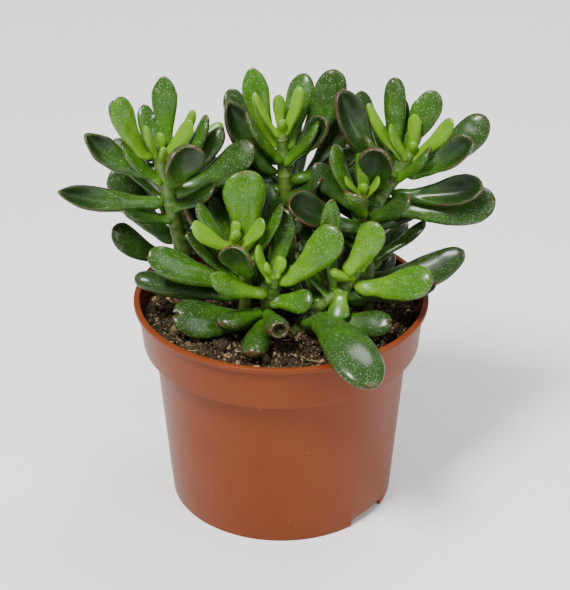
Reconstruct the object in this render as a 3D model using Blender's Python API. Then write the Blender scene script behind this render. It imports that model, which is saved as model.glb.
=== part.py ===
"""Jade plant with spoon, tube and cup shaped leaves, growing in a terracotta coloured plastic pot.

The pot stands on its base at the origin. +Z is up and -Y is the front. Every length in the tables is in
millimetres and every angle in degrees; the meshes themselves are in metres.
"""

import bpy
import numpy as np

MM = 0.001

# Pot
POT_HEIGHT = 90.0
RIM_RADIUS = 60.0
LIP_THICKNESS = 2.5
LIP_HEIGHT = 1.9
COLLAR_TOP_RADIUS = 58.2
COLLAR_FOOT_RADIUS = 56.7
COLLAR_FOOT_HEIGHT = 70.8
BODY_TOP_RADIUS = 52.05
BODY_FOOT_RADIUS = 46.6
WALL = 1.0
FLOOR_THICKNESS = 1.2
CHANNEL_HEIGHT = 4.0
BOSS_RADIUS = 25.0
ARCH_ANGLES = (-39.5, 180.5, 70.5)
ARCH_WIDTH = 20.0
ARCH_HEIGHT = 3.4
ARCH_CORNER = 2.4
DRAIN_HOLES = 6
DRAIN_HOLE_RADIUS = 3.0
DRAIN_HOLE_CIRCLE = 36.5
DRAIN_TURN = 17.0
POT_SIDES = 48

# Soil
GAP = 0.3
SOIL_HEIGHT = 81.0
SOIL_SIDES = 36
SOIL_RINGS = (9.0, 19.0, 29.0, 39.0, 48.0)
SOIL_BUMP = 0.7

# Plant
STEM_SIDES = 10
LEAF_SIDES = 10
LEAF_CLEARANCE = 0.35
SETTLE_STEPS = 240
BEAD_STEPS = 11
SETTLE_RATE = 0.8

# Stems: name, radius at the soil, radius at the tip, and points that the middle line goes through.
STEMS = (
    ("left", 3.6, 2.4, ((-31, 13, 58), (-39, 10, 99), (-44, 5, 128), (-48, 3, 151))),
    ("tall", 3.4, 2.2, ((4, 13, 58), (3, 15, 110), (1, 18, 139), (0, 18, 154))),
    ("right", 3.6, 2.4, ((20, 10, 58), (29, 9, 107), (41, 9, 131), (52, 10, 148))),
    ("inner", 2.9, 1.8, ((34, -2, 58), (35, 0, 105), (33, 0, 123), (32, 0, 136))),
    ("front", 2.7, 2.0, ((-5, -13, 58), (-7, -13, 85), (-4, -16, 97), (-3, -18, 108))),
    ("front_left", 2.8, 1.8, ((-17, -5, 58), (-14, -11, 101), (-17, -12, 112), (-19, -12, 121))),
    ("front_right", 2.9, 2.0, ((3, -13, 58), (8, -14, 83), (24, -14, 99), (31, -14, 109))),
)

# Leaves: stem, number, height of the base, compass direction (0 is +X, 90 is +Y), rise above level,
# length, width, form, bow (how far the middle hangs below a straight line, as a share of the length),
# and roll about the leaf's own line.
LEAVES = (
    ("left", 1, 148, 150, 50, 27, 8.5, "spoon", 0.08, -30),
    ("left", 2, 151, 200, 71, 28, 10, "spoon", 0.06, -70),
    ("left", 3, 150, 95, 80, 29, 10, "spoon", 0.06, 0),
    ("left", 4, 143, 188, 37, 31, 10, "furrow", 0.08, -60),
    ("left", 5, 139, 295, 57, 26, 16, "scoop", 0.04, 180),
    ("left", 6, 136, 15, 38, 28, 8.5, "finger", 0.08, 30),
    ("left", 7, 131, 4, 37, 36, 13, "spoon", 0.10, 45),
    ("left", 8, 130, 196, 14, 42, 9.5, "furrow", 0.04, -60),
    ("left", 9, 109, 156, 49, 36, 14, "spoon", 0.10, -45),
    ("left", 10, 103, 197, 38, 29, 11.5, "spoon", 0.10, -50),
    ("left", 11, 117, 75, 35, 33, 12, "spoon", 0.10, 0),
    ("tall", 1, 147, 150, 74, 32, 10.5, "spoon", 0.05, -60),
    ("tall", 2, 140, 142, 48, 34, 11, "spoon", 0.08, -20),
    ("tall", 3, 137, 190, 59, 35, 11, "furrow", 0.06, -70),
    ("tall", 4, 142, 27, 63, 38, 13, "spoon", 0.08, 55),
    ("tall", 5, 144, 325, 52, 25, 10, "scoop", 0.06, 80),
    ("tall", 6, 128, 35, 50, 37, 10.5, "spoon", 0.10, 30),
    ("tall", 7, 133, 346, 29, 31, 9, "furrow", 0.06, 50),
    ("tall", 8, 128, 194, 34, 31, 9.5, "furrow", 0.06, -50),
    ("right", 1, 137, 186, 62, 41, 12, "furrow", 0.06, -70),
    ("right", 2, 139, 128, 55, 33, 10, "spoon", 0.08, 0),
    ("right", 3, 146, 18, 60, 28, 10.5, "spoon", 0.08, 60),
    ("right", 4, 144, 8, 39, 34, 13, "spoon", 0.08, 50),
    ("right", 5, 142, 336, 38, 32, 10.5, "scoop", 0.06, 60),
    ("right", 6, 134, 255, 57, 26, 13.5, "scoop", 0.04, 180),
    ("right", 7, 133, 342, 16, 36, 12, "scoop", 0.06, 55),
    ("right", 8, 129, 350, 8, 42, 16, "spoon", 0.06, 45),
    ("right", 9, 122, 80, 32, 36, 12, "spoon", 0.10, 0),
    ("right", 10, 143, 92, 76, 31, 8.5, "finger", 0.04, 0),
    ("inner", 1, 125, 330, 38, 21, 9.5, "spoon", 0.06, 45),
    ("inner", 2, 121, 195, 27, 31, 13, "scoop", 0.06, -50),
    ("inner", 3, 129, 150, 43, 23, 9.5, "spoon", 0.08, -40),
    ("front", 1, 105, 0, 50, 31, 13.5, "spoon", 0.08, 60),
    ("front", 2, 107, 42, 68, 25, 11, "spoon", 0.06, 20),
    ("front", 3, 100, 205, 30, 26, 9, "spoon", 0.08, -50),
    ("front", 4, 85, 188, 3, 35, 16, "spoon", 0.06, -40),
    ("front", 5, 91, 282, 6, 20, 9.5, "tube", 0.02, 0),
    ("front", 6, 85, 220, 4, 21, 9.5, "finger", 0.02, 0),
    ("front", 7, 86, 262, 0, 28, 10.5, "finger", 0.02, 0),
    ("front_left", 1, 113, 105, 78, 31, 17, "spoon", 0.06, 0),
    ("front_left", 2, 108, 252, 54, 23, 13.5, "scoop", 0.04, 180),
    ("front_left", 3, 107, 68, 64, 33, 12, "spoon", 0.06, 20),
    ("front_left", 4, 101, 187, 25, 38, 12, "spoon", 0.06, -50),
    ("front_left", 5, 105, 140, 60, 37, 20, "scoop", 0.04, -20),
    ("front_left", 6, 92, 180, 5, 42, 9.5, "finger", 0.04, -30),
    ("front_right", 1, 99, 112, 74, 36, 8.5, "spoon", 0.06, 0),
    ("front_right", 2, 106, 355, 62, 26, 11.5, "spoon", 0.06, 60),
    ("front_right", 3, 104, 340, 20, 31, 13, "spoon", 0.06, 50),
    ("front_right", 4, 98, 5, 24, 50, 12, "spoon", 0.06, 50),
    ("front_right", 5, 87, 292, -1, 58, 20, "spoon", -0.13, 0),
    ("front_right", 6, 91.5, 338, 7, 28, 10.5, "spoon", 0.06, 45),
)

# How wide and how thick each form is along its length, as shares of the greatest width and thickness. The dip
# is how far the upper side sinks below its own rim, as a share of half the thickness.
FORMS = {
    "spoon": {
        "along": (0.0, 0.05, 0.20, 0.40, 0.60, 0.78, 0.91, 0.975, 1.0),
        "wide": (0.0, 0.42, 0.54, 0.74, 0.96, 1.0, 0.80, 0.46, 0.0),
        "thick": (0.0, 0.66, 0.80, 0.98, 1.0, 0.90, 0.66, 0.36, 0.0),
        "dip": (0.0, 0.0, 0.0, 0.0, 0.0, 0.0, 0.0, 0.0, 0.0),
        "thickness": 0.42,
        "hollow": (),
        "slant": 0.0,
    },
    "finger": {
        "along": (0.0, 0.05, 0.20, 0.40, 0.60, 0.78, 0.91, 0.975, 1.0),
        "wide": (0.0, 0.46, 0.62, 0.84, 0.98, 1.0, 0.84, 0.52, 0.0),
        "thick": (0.0, 0.50, 0.70, 0.92, 1.0, 0.95, 0.76, 0.44, 0.0),
        "dip": (0.0, 0.0, 0.0, 0.0, 0.0, 0.0, 0.0, 0.0, 0.0),
        "thickness": 0.74,
        "hollow": (),
        "slant": 0.0,
    },
    "scoop": {
        "along": (0.0, 0.05, 0.20, 0.40, 0.60, 0.78, 0.91, 0.975, 1.0),
        "wide": (0.0, 0.38, 0.48, 0.68, 0.92, 1.0, 0.88, 0.58, 0.0),
        "thick": (0.0, 0.60, 0.76, 0.96, 1.0, 0.96, 0.80, 0.50, 0.0),
        "dip": (0.0, 0.0, 0.0, 0.6, 1.3, 1.6, 1.4, 0.8, 0.0),
        "thickness": 0.46,
        "hollow": (),
        "slant": 0.0,
    },
    "furrow": {
        "along": (0.0, 0.05, 0.20, 0.40, 0.60, 0.78, 0.91, 0.975, 1.0),
        "wide": (0.0, 0.42, 0.60, 0.84, 1.0, 1.0, 0.78, 0.42, 0.0),
        "thick": (0.0, 0.50, 0.70, 0.92, 1.0, 0.95, 0.74, 0.40, 0.0),
        "dip": (0.0, 0.0, 0.0, 0.0, 0.7, 1.25, 1.1, 0.5, 0.0),
        "thickness": 0.68,
        "hollow": (),
        "slant": 0.0,
    },
    "tube": {
        "along": (0.0, 0.06, 0.25, 0.48, 0.72, 0.92, 1.0),
        "wide": (0.0, 0.42, 0.62, 0.86, 0.98, 1.0, 0.80),
        "thick": (0.0, 0.50, 0.70, 0.92, 1.0, 0.95, 0.76),
        "dip": (0.0, 0.0, 0.0, 0.0, 0.0, 0.0, 0.0),
        "thickness": 0.80,
        "hollow": ((0.98, 0.50), (0.90, 0.30), (0.86, 0.0)),
        "slant": 0.10,
    },
}
DIP_LIFT = 0.5
LEAF_COLOURS = {
    "left": (0.09, 0.20, 0.06, 1.0),
    "tall": (0.11, 0.24, 0.06, 1.0),
    "right": (0.08, 0.18, 0.06, 1.0),
    "inner": (0.07, 0.16, 0.05, 1.0),
    "front": (0.14, 0.30, 0.07, 1.0),
    "front_left": (0.13, 0.29, 0.07, 1.0),
    "front_right": (0.12, 0.27, 0.07, 1.0),
}


def material(name, colour, roughness):
    """A plain material; colour is red, green, blue and opacity."""
    made = bpy.data.materials.new(name)
    made.use_nodes = True
    shader = made.node_tree.nodes["Principled BSDF"]
    shader.inputs["Base Color"].default_value = colour
    shader.inputs["Roughness"].default_value = roughness
    made.diffuse_color = colour
    return made


def add_mesh(name, points, faces, look, smooth=True):
    """A mesh object in the scene, from points in millimetres."""
    mesh = bpy.data.meshes.new(name)
    mesh.from_pydata([tuple(p * MM) for p in points], [], faces)
    mesh.validate()
    mesh.polygons.foreach_set("use_smooth", [smooth] * len(mesh.polygons))
    mesh.materials.append(look)
    made = bpy.data.objects.new(name, mesh)
    bpy.context.collection.objects.link(made)
    return made


def as_cutter(made):
    """Marks an object as a cutter, which isn't a part of the plant."""
    made.hide_render = True
    made.display_type = "WIRE"
    return made


def cut(made, cutter):
    """Takes the cutter's shape out of the object."""
    modifier = made.modifiers.new("cut " + cutter.name, "BOOLEAN")
    modifier.operation = "DIFFERENCE"
    modifier.solver = "EXACT"
    modifier.object = cutter


def unit(vector):
    """The vector, or each row of vectors, at length 1."""
    return vector / np.linalg.norm(vector, axis=-1, keepdims=True)


def loft_faces(rings, sides):
    """Faces of a closed loft: a point at each end, and between them rings with the same number of sides."""
    first = 1
    last = 1 + rings * sides
    faces = []
    for i in range(sides):
        j = (i + 1) % sides
        faces.append((0, first + j, first + i))
        for r in range(rings - 1):
            a = first + r * sides
            b = a + sides
            faces.append((a + i, a + j, b + j, b + i))
        end = last - sides
        faces.append((last, end + i, end + j))
    return faces


def turned(name, profile, sides, look, smooth=True):
    """A solid turned about Z from a closed (radius, height) outline that starts and ends on the axis."""
    angles = np.arange(sides) * 2 * np.pi / sides
    points = [np.array((0.0, 0.0, profile[0][1]))]
    for radius, height in profile[1:-1]:
        for angle in angles:
            points.append(np.array((radius * np.cos(angle), radius * np.sin(angle), height)))
    points.append(np.array((0.0, 0.0, profile[-1][1])))
    return add_mesh(name, points, loft_faces(len(profile) - 2, sides), look, smooth)


def body_radius(height):
    """Outer radius of the pot's body, which widens evenly from the foot up to the collar."""
    share = height / (COLLAR_FOOT_HEIGHT - 0.4)
    return BODY_FOOT_RADIUS + (BODY_TOP_RADIUS - BODY_FOOT_RADIUS) * share


def pot_inside():
    """The inside of the pot from the lip down to the middle of the floor, as (radius, height)."""
    top = CHANNEL_HEIGHT + FLOOR_THICKNESS
    return [
        (RIM_RADIUS - LIP_THICKNESS, POT_HEIGHT - 0.4),
        (RIM_RADIUS - LIP_THICKNESS - 0.3, POT_HEIGHT - 3.0),
        (COLLAR_FOOT_RADIUS - WALL - 0.1, COLLAR_FOOT_HEIGHT + 0.7),
        (BODY_TOP_RADIUS - WALL, COLLAR_FOOT_HEIGHT - 1.2),
        (body_radius(top) - WALL, top),
        (BOSS_RADIUS + 4.0, top),
        (BOSS_RADIUS, FLOOR_THICKNESS),
    ]


def make_pot(look):
    """The pot, turned about Z, with arches cut from its foot and drain holes through its floor."""
    outside = [
        (0.0, 0.0),
        (BOSS_RADIUS, 0.0),
        (BOSS_RADIUS + 4.0, CHANNEL_HEIGHT),
        (BODY_FOOT_RADIUS - WALL, CHANNEL_HEIGHT),
        (BODY_FOOT_RADIUS - WALL - 0.1, 0.0),
        (BODY_FOOT_RADIUS, 0.0),
        (BODY_TOP_RADIUS, COLLAR_FOOT_HEIGHT - 0.4),
        (COLLAR_FOOT_RADIUS - 0.4, COLLAR_FOOT_HEIGHT - 0.3),
        (COLLAR_FOOT_RADIUS, COLLAR_FOOT_HEIGHT + 0.2),
        (COLLAR_TOP_RADIUS, POT_HEIGHT - LIP_HEIGHT - 0.5),
        (RIM_RADIUS - 0.2, POT_HEIGHT - LIP_HEIGHT),
        (RIM_RADIUS, POT_HEIGHT - LIP_HEIGHT + 0.4),
        (RIM_RADIUS, POT_HEIGHT - 0.5),
        (RIM_RADIUS - 0.5, POT_HEIGHT),
        (RIM_RADIUS - LIP_THICKNESS + 0.4, POT_HEIGHT),
    ]
    pot = turned("pot", outside + pot_inside() + [(0.0, FLOOR_THICKNESS)], POT_SIDES, look)
    for number, angle in enumerate(ARCH_ANGLES, 1):
        cut(pot, make_arch(f"arch_cutter_{number}", angle, look))
    for number in range(DRAIN_HOLES):
        cut(pot, make_drain(f"drain_cutter_{number + 1}", DRAIN_TURN + number * 360 / DRAIN_HOLES, look))
    return pot


def make_arch(name, angle, look):
    """A drainage arch in the foot: a box with its two top corners rounded, laid along the radius."""
    half = ARCH_WIDTH / 2
    flat = half - ARCH_CORNER
    turns = np.radians((0, 30, 60, 90))
    spring = ARCH_HEIGHT - ARCH_CORNER
    right = [(flat + ARCH_CORNER * np.cos(t), spring + ARCH_CORNER * np.sin(t)) for t in turns]
    left = [(-across, up) for across, up in reversed(right)]
    outline = [(half, -2.0)] + right + left + [(-half, -2.0)]
    radial = np.array((np.cos(np.radians(angle)), np.sin(np.radians(angle)), 0.0))
    across = np.array((-radial[1], radial[0], 0.0))
    up = np.array((0.0, 0.0, 1.0))
    points = []
    for reach in (BODY_FOOT_RADIUS - 4.2, BODY_FOOT_RADIUS + 3.0):
        points += [radial * reach + across * a + up * u for a, u in outline]
    count = len(outline)
    faces = [tuple(range(count))[::-1], tuple(range(count, 2 * count))]
    for i in range(count):
        j = (i + 1) % count
        faces.append((i, j, j + count, i + count))
    return as_cutter(add_mesh(name, points, faces, look, smooth=False))


def make_drain(name, angle, look):
    """A round drain hole down through the raised channel of the floor."""
    centre = DRAIN_HOLE_CIRCLE * np.array((np.cos(np.radians(angle)), np.sin(np.radians(angle)), 0.0))
    points = [centre + (0, 0, CHANNEL_HEIGHT - 2.0)]
    for height in (CHANNEL_HEIGHT - 2.0, CHANNEL_HEIGHT + FLOOR_THICKNESS + 1.0):
        for turn in np.arange(12) * 2 * np.pi / 12:
            offset = DRAIN_HOLE_RADIUS * np.array((np.cos(turn), np.sin(turn), 0.0))
            points.append(centre + offset + (0, 0, height))
    points.append(centre + (0, 0, CHANNEL_HEIGHT + FLOOR_THICKNESS + 1.0))
    return as_cutter(add_mesh(name, points, loft_faces(2, 12), look, smooth=False))


def soil_top(x, y):
    """Height of the soil, gently mounded towards the stems and a little uneven."""
    radius = np.hypot(x, y)
    mound = 1.2 * (1 - (radius / 56.0) ** 2)
    bumps = np.sin(0.21 * x + 1.0) * np.cos(0.17 * y - 0.4) + 0.6 * np.sin(0.33 * y + 0.19 * x)
    return SOIL_HEIGHT + mound + SOIL_BUMP * bumps


def make_soil(look, stems):
    """The soil fills the pot up to its uneven top, with a hole for each stem."""
    under_lip, ledge_top, ledge_foot, channel_edge, channel_inner, boss = pot_inside()[1:]
    share = (SOIL_HEIGHT - ledge_top[1]) / (under_lip[1] - ledge_top[1])
    edge = ledge_top[0] + share * (under_lip[0] - ledge_top[0]) - GAP
    below = [
        (ledge_top[0] - GAP, ledge_top[1] + 0.2),
        (ledge_foot[0] - GAP, ledge_foot[1] + 0.1),
        (channel_edge[0] - GAP - 0.1, channel_edge[1] + GAP),
        (channel_inner[0] - 0.2, channel_inner[1] + GAP),
        (boss[0] - 0.3, boss[1] + GAP),
    ]
    angles = np.arange(SOIL_SIDES) * 2 * np.pi / SOIL_SIDES
    points = [np.array((0.0, 0.0, boss[1] + GAP))]
    for radius, height in reversed(below):
        points += [np.array((radius * np.cos(a), radius * np.sin(a), height)) for a in angles]
    for radius in (edge,) + SOIL_RINGS[::-1]:
        for a in angles:
            x, y = radius * np.cos(a), radius * np.sin(a)
            points.append(np.array((x, y, soil_top(x, y))))
    points.append(np.array((0.0, 0.0, soil_top(0.0, 0.0))))
    soil = add_mesh("soil", points, loft_faces(len(below) + 1 + len(SOIL_RINGS), SOIL_SIDES), look)
    for stem in stems:
        cutter = add_mesh("hole_cutter_" + stem["name"], *stem_mesh(stem, GAP), look)
        cut(soil, as_cutter(cutter))
    return soil


def smooth_line(points, count):
    """A smooth line through the points (a Catmull-Rom spline), as evenly stepped positions."""
    points = np.array(points, float)
    ends = np.vstack((2 * points[0] - points[1], points, 2 * points[-1] - points[-2]))
    line = []
    for u in np.linspace(0, len(points) - 1, count):
        k = min(int(u), len(points) - 2)
        t = u - k
        a, b, c, d = ends[k : k + 4]
        line.append(
            0.5 * (2 * b + (c - a) * t + (2 * a - 5 * b + 4 * c - d) * t**2 + (3 * b - a - 3 * c + d) * t**3)
        )
    return np.array(line)


def plan_stem(name, foot_radius, tip_radius, points):
    """A stem's middle line, its direction and its radius at evenly stepped places."""
    line = smooth_line(points, 49)
    along = unit(np.gradient(line, axis=0))
    radius = np.linspace(foot_radius, tip_radius, len(line))
    return {"name": name, "line": line, "along": along, "radius": radius}


def stem_at(stem, height):
    """The stem's middle, direction and radius at a height above the ground."""
    heights = stem["line"][:, 2]
    middle = np.array([np.interp(height, heights, stem["line"][:, k]) for k in range(3)])
    along = unit(np.array([np.interp(height, heights, stem["along"][:, k]) for k in range(3)]))
    return middle, along, np.interp(height, heights, stem["radius"])


def stem_mesh(stem, grown):
    """A stem as a closed loft with swollen joints, ending in a soft pointed bud."""
    picks = np.linspace(0, len(stem["line"]) - 1, 13).round().astype(int)
    turns = np.arange(STEM_SIDES) * 2 * np.pi / STEM_SIDES
    points = [stem["line"][0] - stem["along"][0] * (0.8 + grown)]
    for order, k in enumerate(picks):
        along = stem["along"][k]
        side = unit(np.cross(along, (0.0, 1.0, 0.2)))
        front = np.cross(along, side)
        swell = 1.0 + 0.09 * (order % 2)
        radius = stem["radius"][k] * swell * (0.86 if order == 12 else 1.0) + grown
        for turn in turns:
            points.append(stem["line"][k] + radius * (np.cos(turn) * side + np.sin(turn) * front))
    tip = stem["line"][-1] + stem["along"][-1] * (1.5 * stem["radius"][-1] + grown)
    points.append(tip)
    return points, loft_faces(len(picks), STEM_SIDES)


def plan_leaf(row):
    """One row of LEAVES as named values, with its heading and the way its upper side faces."""
    stem, number, height, compass, rise, length, width, form, bow, roll = row
    bearing = np.radians(compass)
    up = np.radians(rise)
    heading = np.array((np.cos(bearing) * np.cos(up), np.sin(bearing) * np.cos(up), np.sin(up)))
    face = np.array((-np.cos(bearing) * np.sin(up), -np.sin(bearing) * np.sin(up), np.cos(up)))
    return {
        "name": f"leaf_{stem}_{number:02d}",
        "stem": stem,
        "height": float(height),
        "heading": heading,
        "face": face,
        "length": float(length),
        "width": float(width),
        "form": form,
        "bow": bow,
        "roll": np.radians(roll),
    }


def leaf_line(leaf, stem, along):
    """The leaf's middle line, and its direction, side and upper-face vectors at each share of its length."""
    middle, stem_along, stem_radius = stem_at(stem, leaf["height"])
    heading = leaf["heading"]
    out = unit(heading - stem_along * (heading @ stem_along) + 1e-6)
    start = middle + out * (stem_radius * 1.09 + LEAF_CLEARANCE)
    upper = unit(leaf["face"] - heading * (heading @ leaf["face"]))
    side = np.cross(upper, heading)
    end = start + heading * leaf["length"]
    knee = start + heading * 0.5 * leaf["length"] - upper * 2 * leaf["bow"] * leaf["length"]
    t = np.asarray(along, float)[:, None]
    line = (1 - t) ** 2 * start + 2 * t * (1 - t) * knee + t**2 * end
    foot = FORMS[leaf["form"]]["wide"][2] * leaf["width"] * 0.5 * abs(heading @ stem_along) ** 2
    line = line + out * foot * np.clip(t / 0.05, 0.0, 1.0)
    ahead = unit((1 - t) * (knee - start) + t * (end - knee))
    above = np.cross(ahead, side)
    turned_side = side * np.cos(leaf["roll"]) + above * np.sin(leaf["roll"])
    turned_above = above * np.cos(leaf["roll"]) - side * np.sin(leaf["roll"])
    return line, ahead, turned_side, turned_above


def leaf_mesh(leaf, stem):
    """The leaf as a closed loft.

    A scoop or a furrow has a dipped upper side between raised edges. A tube is hollowed at its tip, which is
    cut at a slant.
    """
    form = FORMS[leaf["form"]]
    last = len(form["along"]) if form["hollow"] else -1
    along = list(form["along"][1:last])
    wide = list(form["wide"][1:last])
    thick = list(form["thick"][1:last])
    dip = list(form["dip"][1:last])
    finish = 1.0
    for place, share in form["hollow"][:-1]:
        along.append(place)
        wide.append(share)
        thick.append(share)
        dip.append(0.0)
    if form["hollow"]:
        finish = form["hollow"][-1][0]
    half_width = np.array(wide) * leaf["width"] / 2
    half_thick = np.array(thick) * leaf["width"] * form["thickness"] / 2
    line, ahead, side, above = leaf_line(leaf, stem, along)
    turns = np.arange(LEAF_SIDES) * 2 * np.pi / LEAF_SIDES
    ends, _, _, _ = leaf_line(leaf, stem, (0.0, finish))
    points = [ends[0]]
    for k, place in enumerate(along):
        slant = form["slant"] * np.clip((place - 0.7) / 0.3, 0, 1)
        for turn in turns:
            sunk = dip[k] * max(np.sin(turn), 0.0) ** 4
            lift = dip[k] * DIP_LIFT * np.cos(turn) ** 2
            across = np.cos(turn) * half_width[k]
            over = (np.sin(turn) - sunk + lift) * half_thick[k]
            points.append(line[k] + side[k] * across + above[k] * over - ahead[k] * slant * over)
    points.append(ends[1])
    return points, loft_faces(len(along), LEAF_SIDES)


def leaf_beads(leaf, stem):
    """Balls that fill the leaf, three across at each step: centres, radii and share of the length."""
    form = FORMS[leaf["form"]]
    along = np.linspace(0.10, 0.97, BEAD_STEPS)
    half_width = np.interp(along, form["along"], form["wide"]) * leaf["width"] / 2
    half_thick = np.interp(along, form["along"], form["thick"]) * leaf["width"] * form["thickness"] / 2
    ball = np.minimum(half_width, half_thick) * 1.03
    spread = np.maximum(half_width - ball, 0.0)[:, None]
    line, _, side, _ = leaf_line(leaf, stem, along)
    centres = np.concatenate((line - side * spread, line, line + side * spread))
    return centres, np.tile(ball, 3), np.tile(along, 3)


def touching_pairs(centres, radii, others, other_radii):
    """Pairs of balls nearer than the clearance: their indices, how deep they press and the way apart."""
    squared = (centres**2).sum(1)[:, None] + (others**2).sum(1)[None] - 2 * centres @ others.T
    reach = radii[:, None] + other_radii[None] + LEAF_CLEARANCE
    first, second = np.nonzero(squared < reach**2)
    between = centres[first] - others[second]
    apart = np.linalg.norm(between, axis=1) + 1e-9
    return first, second, reach[first, second] - apart, between / apart[:, None]


def settle(leaves, stems):
    """Leaves that press on one another, on a stem, on the soil or on the rim give way, as real ones do."""
    by_name = {stem["name"]: stem for stem in stems}
    order = {stem["name"]: k for k, stem in enumerate(stems)}
    home = np.repeat([order[leaf["stem"]] for leaf in leaves], 3 * BEAD_STEPS)
    owner = np.repeat(np.arange(len(leaves)), 3 * BEAD_STEPS)
    stem_centres = np.concatenate([stem["line"] for stem in stems])
    stem_radii = np.concatenate([stem["radius"] * 1.09 for stem in stems])
    stem_owner = np.repeat(np.arange(len(stems)), len(stems[0]["line"]))
    for _ in range(SETTLE_STEPS):
        beads = [leaf_beads(leaf, by_name[leaf["stem"]]) for leaf in leaves]
        centres, radii, shares = (np.concatenate(part) for part in zip(*beads))
        push = np.zeros_like(centres)
        first, second, deep, way = touching_pairs(centres, radii, centres, radii)
        apart = owner[first] != owner[second]
        np.add.at(push, first[apart], way[apart] * deep[apart, None] * 0.5)
        first, second, deep, way = touching_pairs(centres, radii, stem_centres, stem_radii)
        apart = (home[first] != stem_owner[second]) | (shares[first] > 0.3)
        np.add.at(push, first[apart], way[apart] * deep[apart, None] * 0.5)
        reach = np.hypot(centres[:, 0], centres[:, 1])
        ground = soil_top(centres[:, 0], centres[:, 1]) + LEAF_CLEARANCE
        floor = np.where(reach < RIM_RADIUS - 4.0, ground, POT_HEIGHT + LEAF_CLEARANCE)
        floor = np.where(reach > RIM_RADIUS + radii + 0.5, 0.0, floor)
        push[:, 2] += np.clip(floor + radii - centres[:, 2], 0.0, 2.0)
        pressed = np.linalg.norm(push, axis=1) > 0.01
        if not pressed.any():
            break
        for k in np.unique(owner[pressed]):
            mine = (owner == k) & pressed
            lever = (push[mine] * shares[mine, None]).mean(axis=0)
            slide = (push[mine, 2] * (1 - shares[mine]) ** 2).mean()
            leaf = leaves[k]
            leaf["heading"] = unit(leaf["heading"] * leaf["length"] + lever * SETTLE_RATE)
            leaf["height"] += np.clip(slide, -0.3, 0.3)
    return leaves


def main():
    """Clears the scene, then makes the pot, the soil, the stems and the settled leaves."""
    for existing in list(bpy.data.objects):
        bpy.data.objects.remove(existing, do_unlink=True)
    stems = [plan_stem(*row) for row in STEMS]
    by_name = {stem["name"]: stem for stem in stems}
    make_pot(material("terracotta plastic", (0.42, 0.11, 0.035, 1.0), 0.5))
    make_soil(material("peat soil", (0.035, 0.022, 0.014, 1.0), 0.95), stems)
    bark = material("green stem", (0.10, 0.16, 0.05, 1.0), 0.5)
    for stem in stems:
        add_mesh("stem_" + stem["name"], *stem_mesh(stem, 0.0), bark)
    looks = {name: material("leaf " + name, colour, 0.35) for name, colour in LEAF_COLOURS.items()}
    leaves = settle([plan_leaf(row) for row in LEAVES], stems)
    for leaf in leaves:
        add_mesh(leaf["name"], *leaf_mesh(leaf, by_name[leaf["stem"]]), looks[leaf["stem"]])


main()
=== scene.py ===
"""Potted jade plant: a terracotta coloured nursery pot, peat soil, seven stems and their leaves."""

import bmesh
import bpy
import numpy as np
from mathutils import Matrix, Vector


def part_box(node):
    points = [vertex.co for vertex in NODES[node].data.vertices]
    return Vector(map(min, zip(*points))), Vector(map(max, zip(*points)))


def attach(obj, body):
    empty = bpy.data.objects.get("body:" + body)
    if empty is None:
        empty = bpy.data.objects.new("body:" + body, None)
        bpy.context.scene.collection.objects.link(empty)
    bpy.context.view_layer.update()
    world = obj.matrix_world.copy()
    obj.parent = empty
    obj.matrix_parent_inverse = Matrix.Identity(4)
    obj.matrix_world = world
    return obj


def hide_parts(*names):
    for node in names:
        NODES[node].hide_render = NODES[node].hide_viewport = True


bl_info = {
    "name": "Potted Jade Plant",
    "version": (1, 0, 0),
    "blender": (4, 5, 0),
    "location": "3D View > Sidebar > Jade Plant",
    "description": "Builds a potted jade plant with its pot, soil, stems and leaves",
    "category": "Add Mesh",
}

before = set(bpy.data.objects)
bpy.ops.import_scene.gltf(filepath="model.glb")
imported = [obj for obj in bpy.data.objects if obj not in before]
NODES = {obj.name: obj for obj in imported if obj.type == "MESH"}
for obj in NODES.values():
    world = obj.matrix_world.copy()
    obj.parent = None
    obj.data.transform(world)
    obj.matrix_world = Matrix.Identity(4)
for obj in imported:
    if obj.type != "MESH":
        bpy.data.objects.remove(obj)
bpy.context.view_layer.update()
MM = 0.001
SEED = 20
FULL_TURN = 2 * np.pi
WELD = 4e-6

# Pot: height of the channel between foot ring and floor, thickness of the floor, where the flat middle of the
# floor ends and the raised part begins, and the compass directions of the drainage arches.
CHANNEL = 4.0 * MM
FLOOR = 1.2 * MM
MIDDLE_EDGE = 25 * MM
RAISED_EDGE = 29 * MM
ARCHES = (-39.5, 180.5, 70.5)
MOULD_LINE = 233
DRAIN_HOLES = 6
DRAIN_FIRST = 17
DRAIN_CIRCLE = 36.5 * MM
DRAIN_RADIUS = 3 * MM

# Soil: how deep its side reaches, and the loose bits: name, setting, smallest and largest radius in
# millimetres, how often the icosahedron is divided, and the darkest and lightest tone.
SOIL_SKIRT = 7 * MM
LOOSE_BITS = (
    ("soil_crumbs", "crumbs", 0.30, 1.0, 0, (0.12, 1.0)),
    ("soil_lumps", "lumps", 1.0, 1.9, 1, (0.12, 0.85)),
)

# Points round each loft, and rows between two rings of its net.
LEAF_COLUMNS, LEAF_ROWS = 44, 5
STEM_COLUMNS, STEM_ROWS = 40, 8

# Back leaves: depths under the growing tip in millimetres, how many directions are tried at each, how far a
# leaf's foot stays above the soil, and the narrowest and widest leaf in millimetres.
BACK_DEPTHS = np.arange(8.0, 50.0, 4.5)
BACK_TRIES = 14
BACK_CLEARANCE = 6 * MM
BACK_NARROWEST, BACK_WIDEST = 6.0, 11.5

# Lights: name, place, width and height, and power at strength 1.
LIGHTS = (
    ("key", (-0.45, -0.60, 1.35), (0.38, 0.38), 38),
    ("fill", (1.0, -0.8, 0.9), (0.7, 0.9), 8),
    ("top", (0.45, 0.60, 1.4), (0.6, 0.5), 11),
)
LIGHT_AIM = (0, 0, 0.08)
SURROUNDINGS = 0.50
FLOOR_REACH = 4.0

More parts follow.
